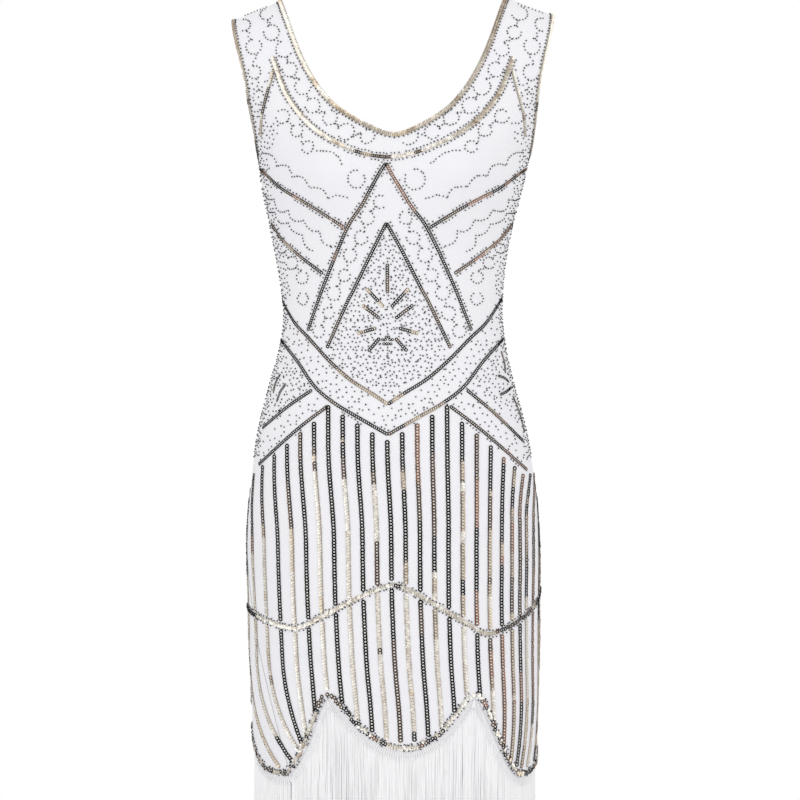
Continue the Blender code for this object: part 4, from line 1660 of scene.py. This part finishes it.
for face, middle, node in (("Front", 0, "fringe_front"), ("Back", 180, "fringe_back")):
    heap = Heap()
    up, down, outer = -fringe["tapeUp"], fringe["tapeDown"], fringe["tapeOut"] - fringe["behind"]
    inner = outer - fringe["tapeThick"]
    profile = [(up, outer), (down, outer), (down, inner), (up, inner)]
    sweep(heap, hemRun(middle, fringe["tapeStep"]), profile, False, 0)
    loops(heap, middle)
    for forward, pitch, thread in fringe["layers"]:
        lines = strandLines(middle, pitch * mm, forward * mm)
        # the front layer gets only the white and soft threads, and the back layers also the greyer one:
        # painted shade
        finish = np.clip(thread + dice.integers(-1, 2, len(lines)), 0, 2) + 1
        tubes(heap, lines[:, ::-1], fringe["radius"], 5, finish)
    heap.piece("fringe" + face, [tape, *threads], "fringe", [node])
print("fringe made")


# Stage, light and camera

studio = {
    "floor": -1.42,
    "floorSize": 1.5,
    "distance": 3.0,
    "camera": (0.0081, -3.0, -0.4643),
    "view": 0.924,  # metres across at the side seams
    "fill": 0.86,
    "gloss": (0.22, 1.2),  # what shiny things see at the sides, and in front, above and below
    "glossFrom": (0.42, 0.75),
    "lamps": (
        # place, size, watts
        ((-1.7, -2.2, 0.9), 1.5, 11),
        ((1.9, -2.0, 0.5), 1.5, 8),
        ((0.2, -2.4, -1.1), 1.6, 4),
        ((0.4, 2.2, 0.8), 1.6, 8),
    ),
}


def makeFloor():
    bm = bmesh.new()
    bmesh.ops.create_circle(bm, cap_ends=True, segments=96, radius=studio["floorSize"])
    mesh = bpy.data.meshes.new("floor")
    bm.to_mesh(mesh)
    bm.free()
    mesh.transform(Matrix.Translation((0, 0, studio["floor"])))
    floor = bpy.data.objects.new("floor", mesh)
    bpy.context.scene.collection.objects.link(floor)
    plain = Finish("paleFloor", Roughness=0.9)
    floor.data.materials.append(plain.use(Base_Color=(0.82, 0.82, 0.82)))


def makeLights():
    world = bpy.data.worlds.new("studio")
    bpy.context.scene.world = world
    world.use_nodes = True
    sky, fill = Nodes(world.node_tree), studio["fill"]
    background = sky.nodes["Background"].inputs
    where = sky.add("ShaderNodeTexCoord", output="Generated")
    across = sky.add("ShaderNodeSeparateXYZ", {}, {0: where}, output="X")
    aside = sky.add("ShaderNodeMath", {"operation": "ABSOLUTE"}, {0: across})
    (start, end), (atSides, ahead) = studio["glossFrom"], studio["gloss"]
    inputs = {"Value": aside, "From Min": start, "From Max": end, "To Min": ahead, "To Max": atSides}
    gloss = sky.add("ShaderNodeMapRange", {"interpolation_type": "SMOOTHSTEP"}, inputs, output="Result")
    isShiny = sky.add("ShaderNodeLightPath", output="Is Glossy Ray")
    isCamera = sky.add("ShaderNodeLightPath", output="Is Camera Ray")
    light = fill + (gloss - fill) * isShiny
    sky.put(background["Color"], (1, 1, 1))
    sky.put(background["Strength"], light + (1 - light) * isCamera)
    for number, (place, size, watts) in enumerate(studio["lamps"]):
        lamp = bpy.data.lights.new("softbox%d" % number, "AREA")
        lamp.shape, lamp.size, lamp.energy = "SQUARE", size, watts
        made = bpy.data.objects.new(lamp.name, lamp)
        made.location = place
        made.rotation_euler = (Vector((0, 0, -0.45)) - Vector(place)).to_track_quat("-Z", "Y").to_euler()
        bpy.context.scene.collection.objects.link(made)


def makeCamera():
    lens = bpy.data.cameras.new("camera")
    lens.sensor_width = 36
    lens.lens = 36 * studio["distance"] / studio["view"]
    camera = bpy.data.objects.new("camera", lens)
    camera.location = studio["camera"]
    camera.rotation_euler = (math.pi / 2, 0, 0)
    bpy.context.scene.collection.objects.link(camera)
    bpy.context.scene.camera = camera
    bpy.context.scene.view_settings.view_transform = "Standard"


makeFloor()
makeLights()
makeCamera()
print("studio made")
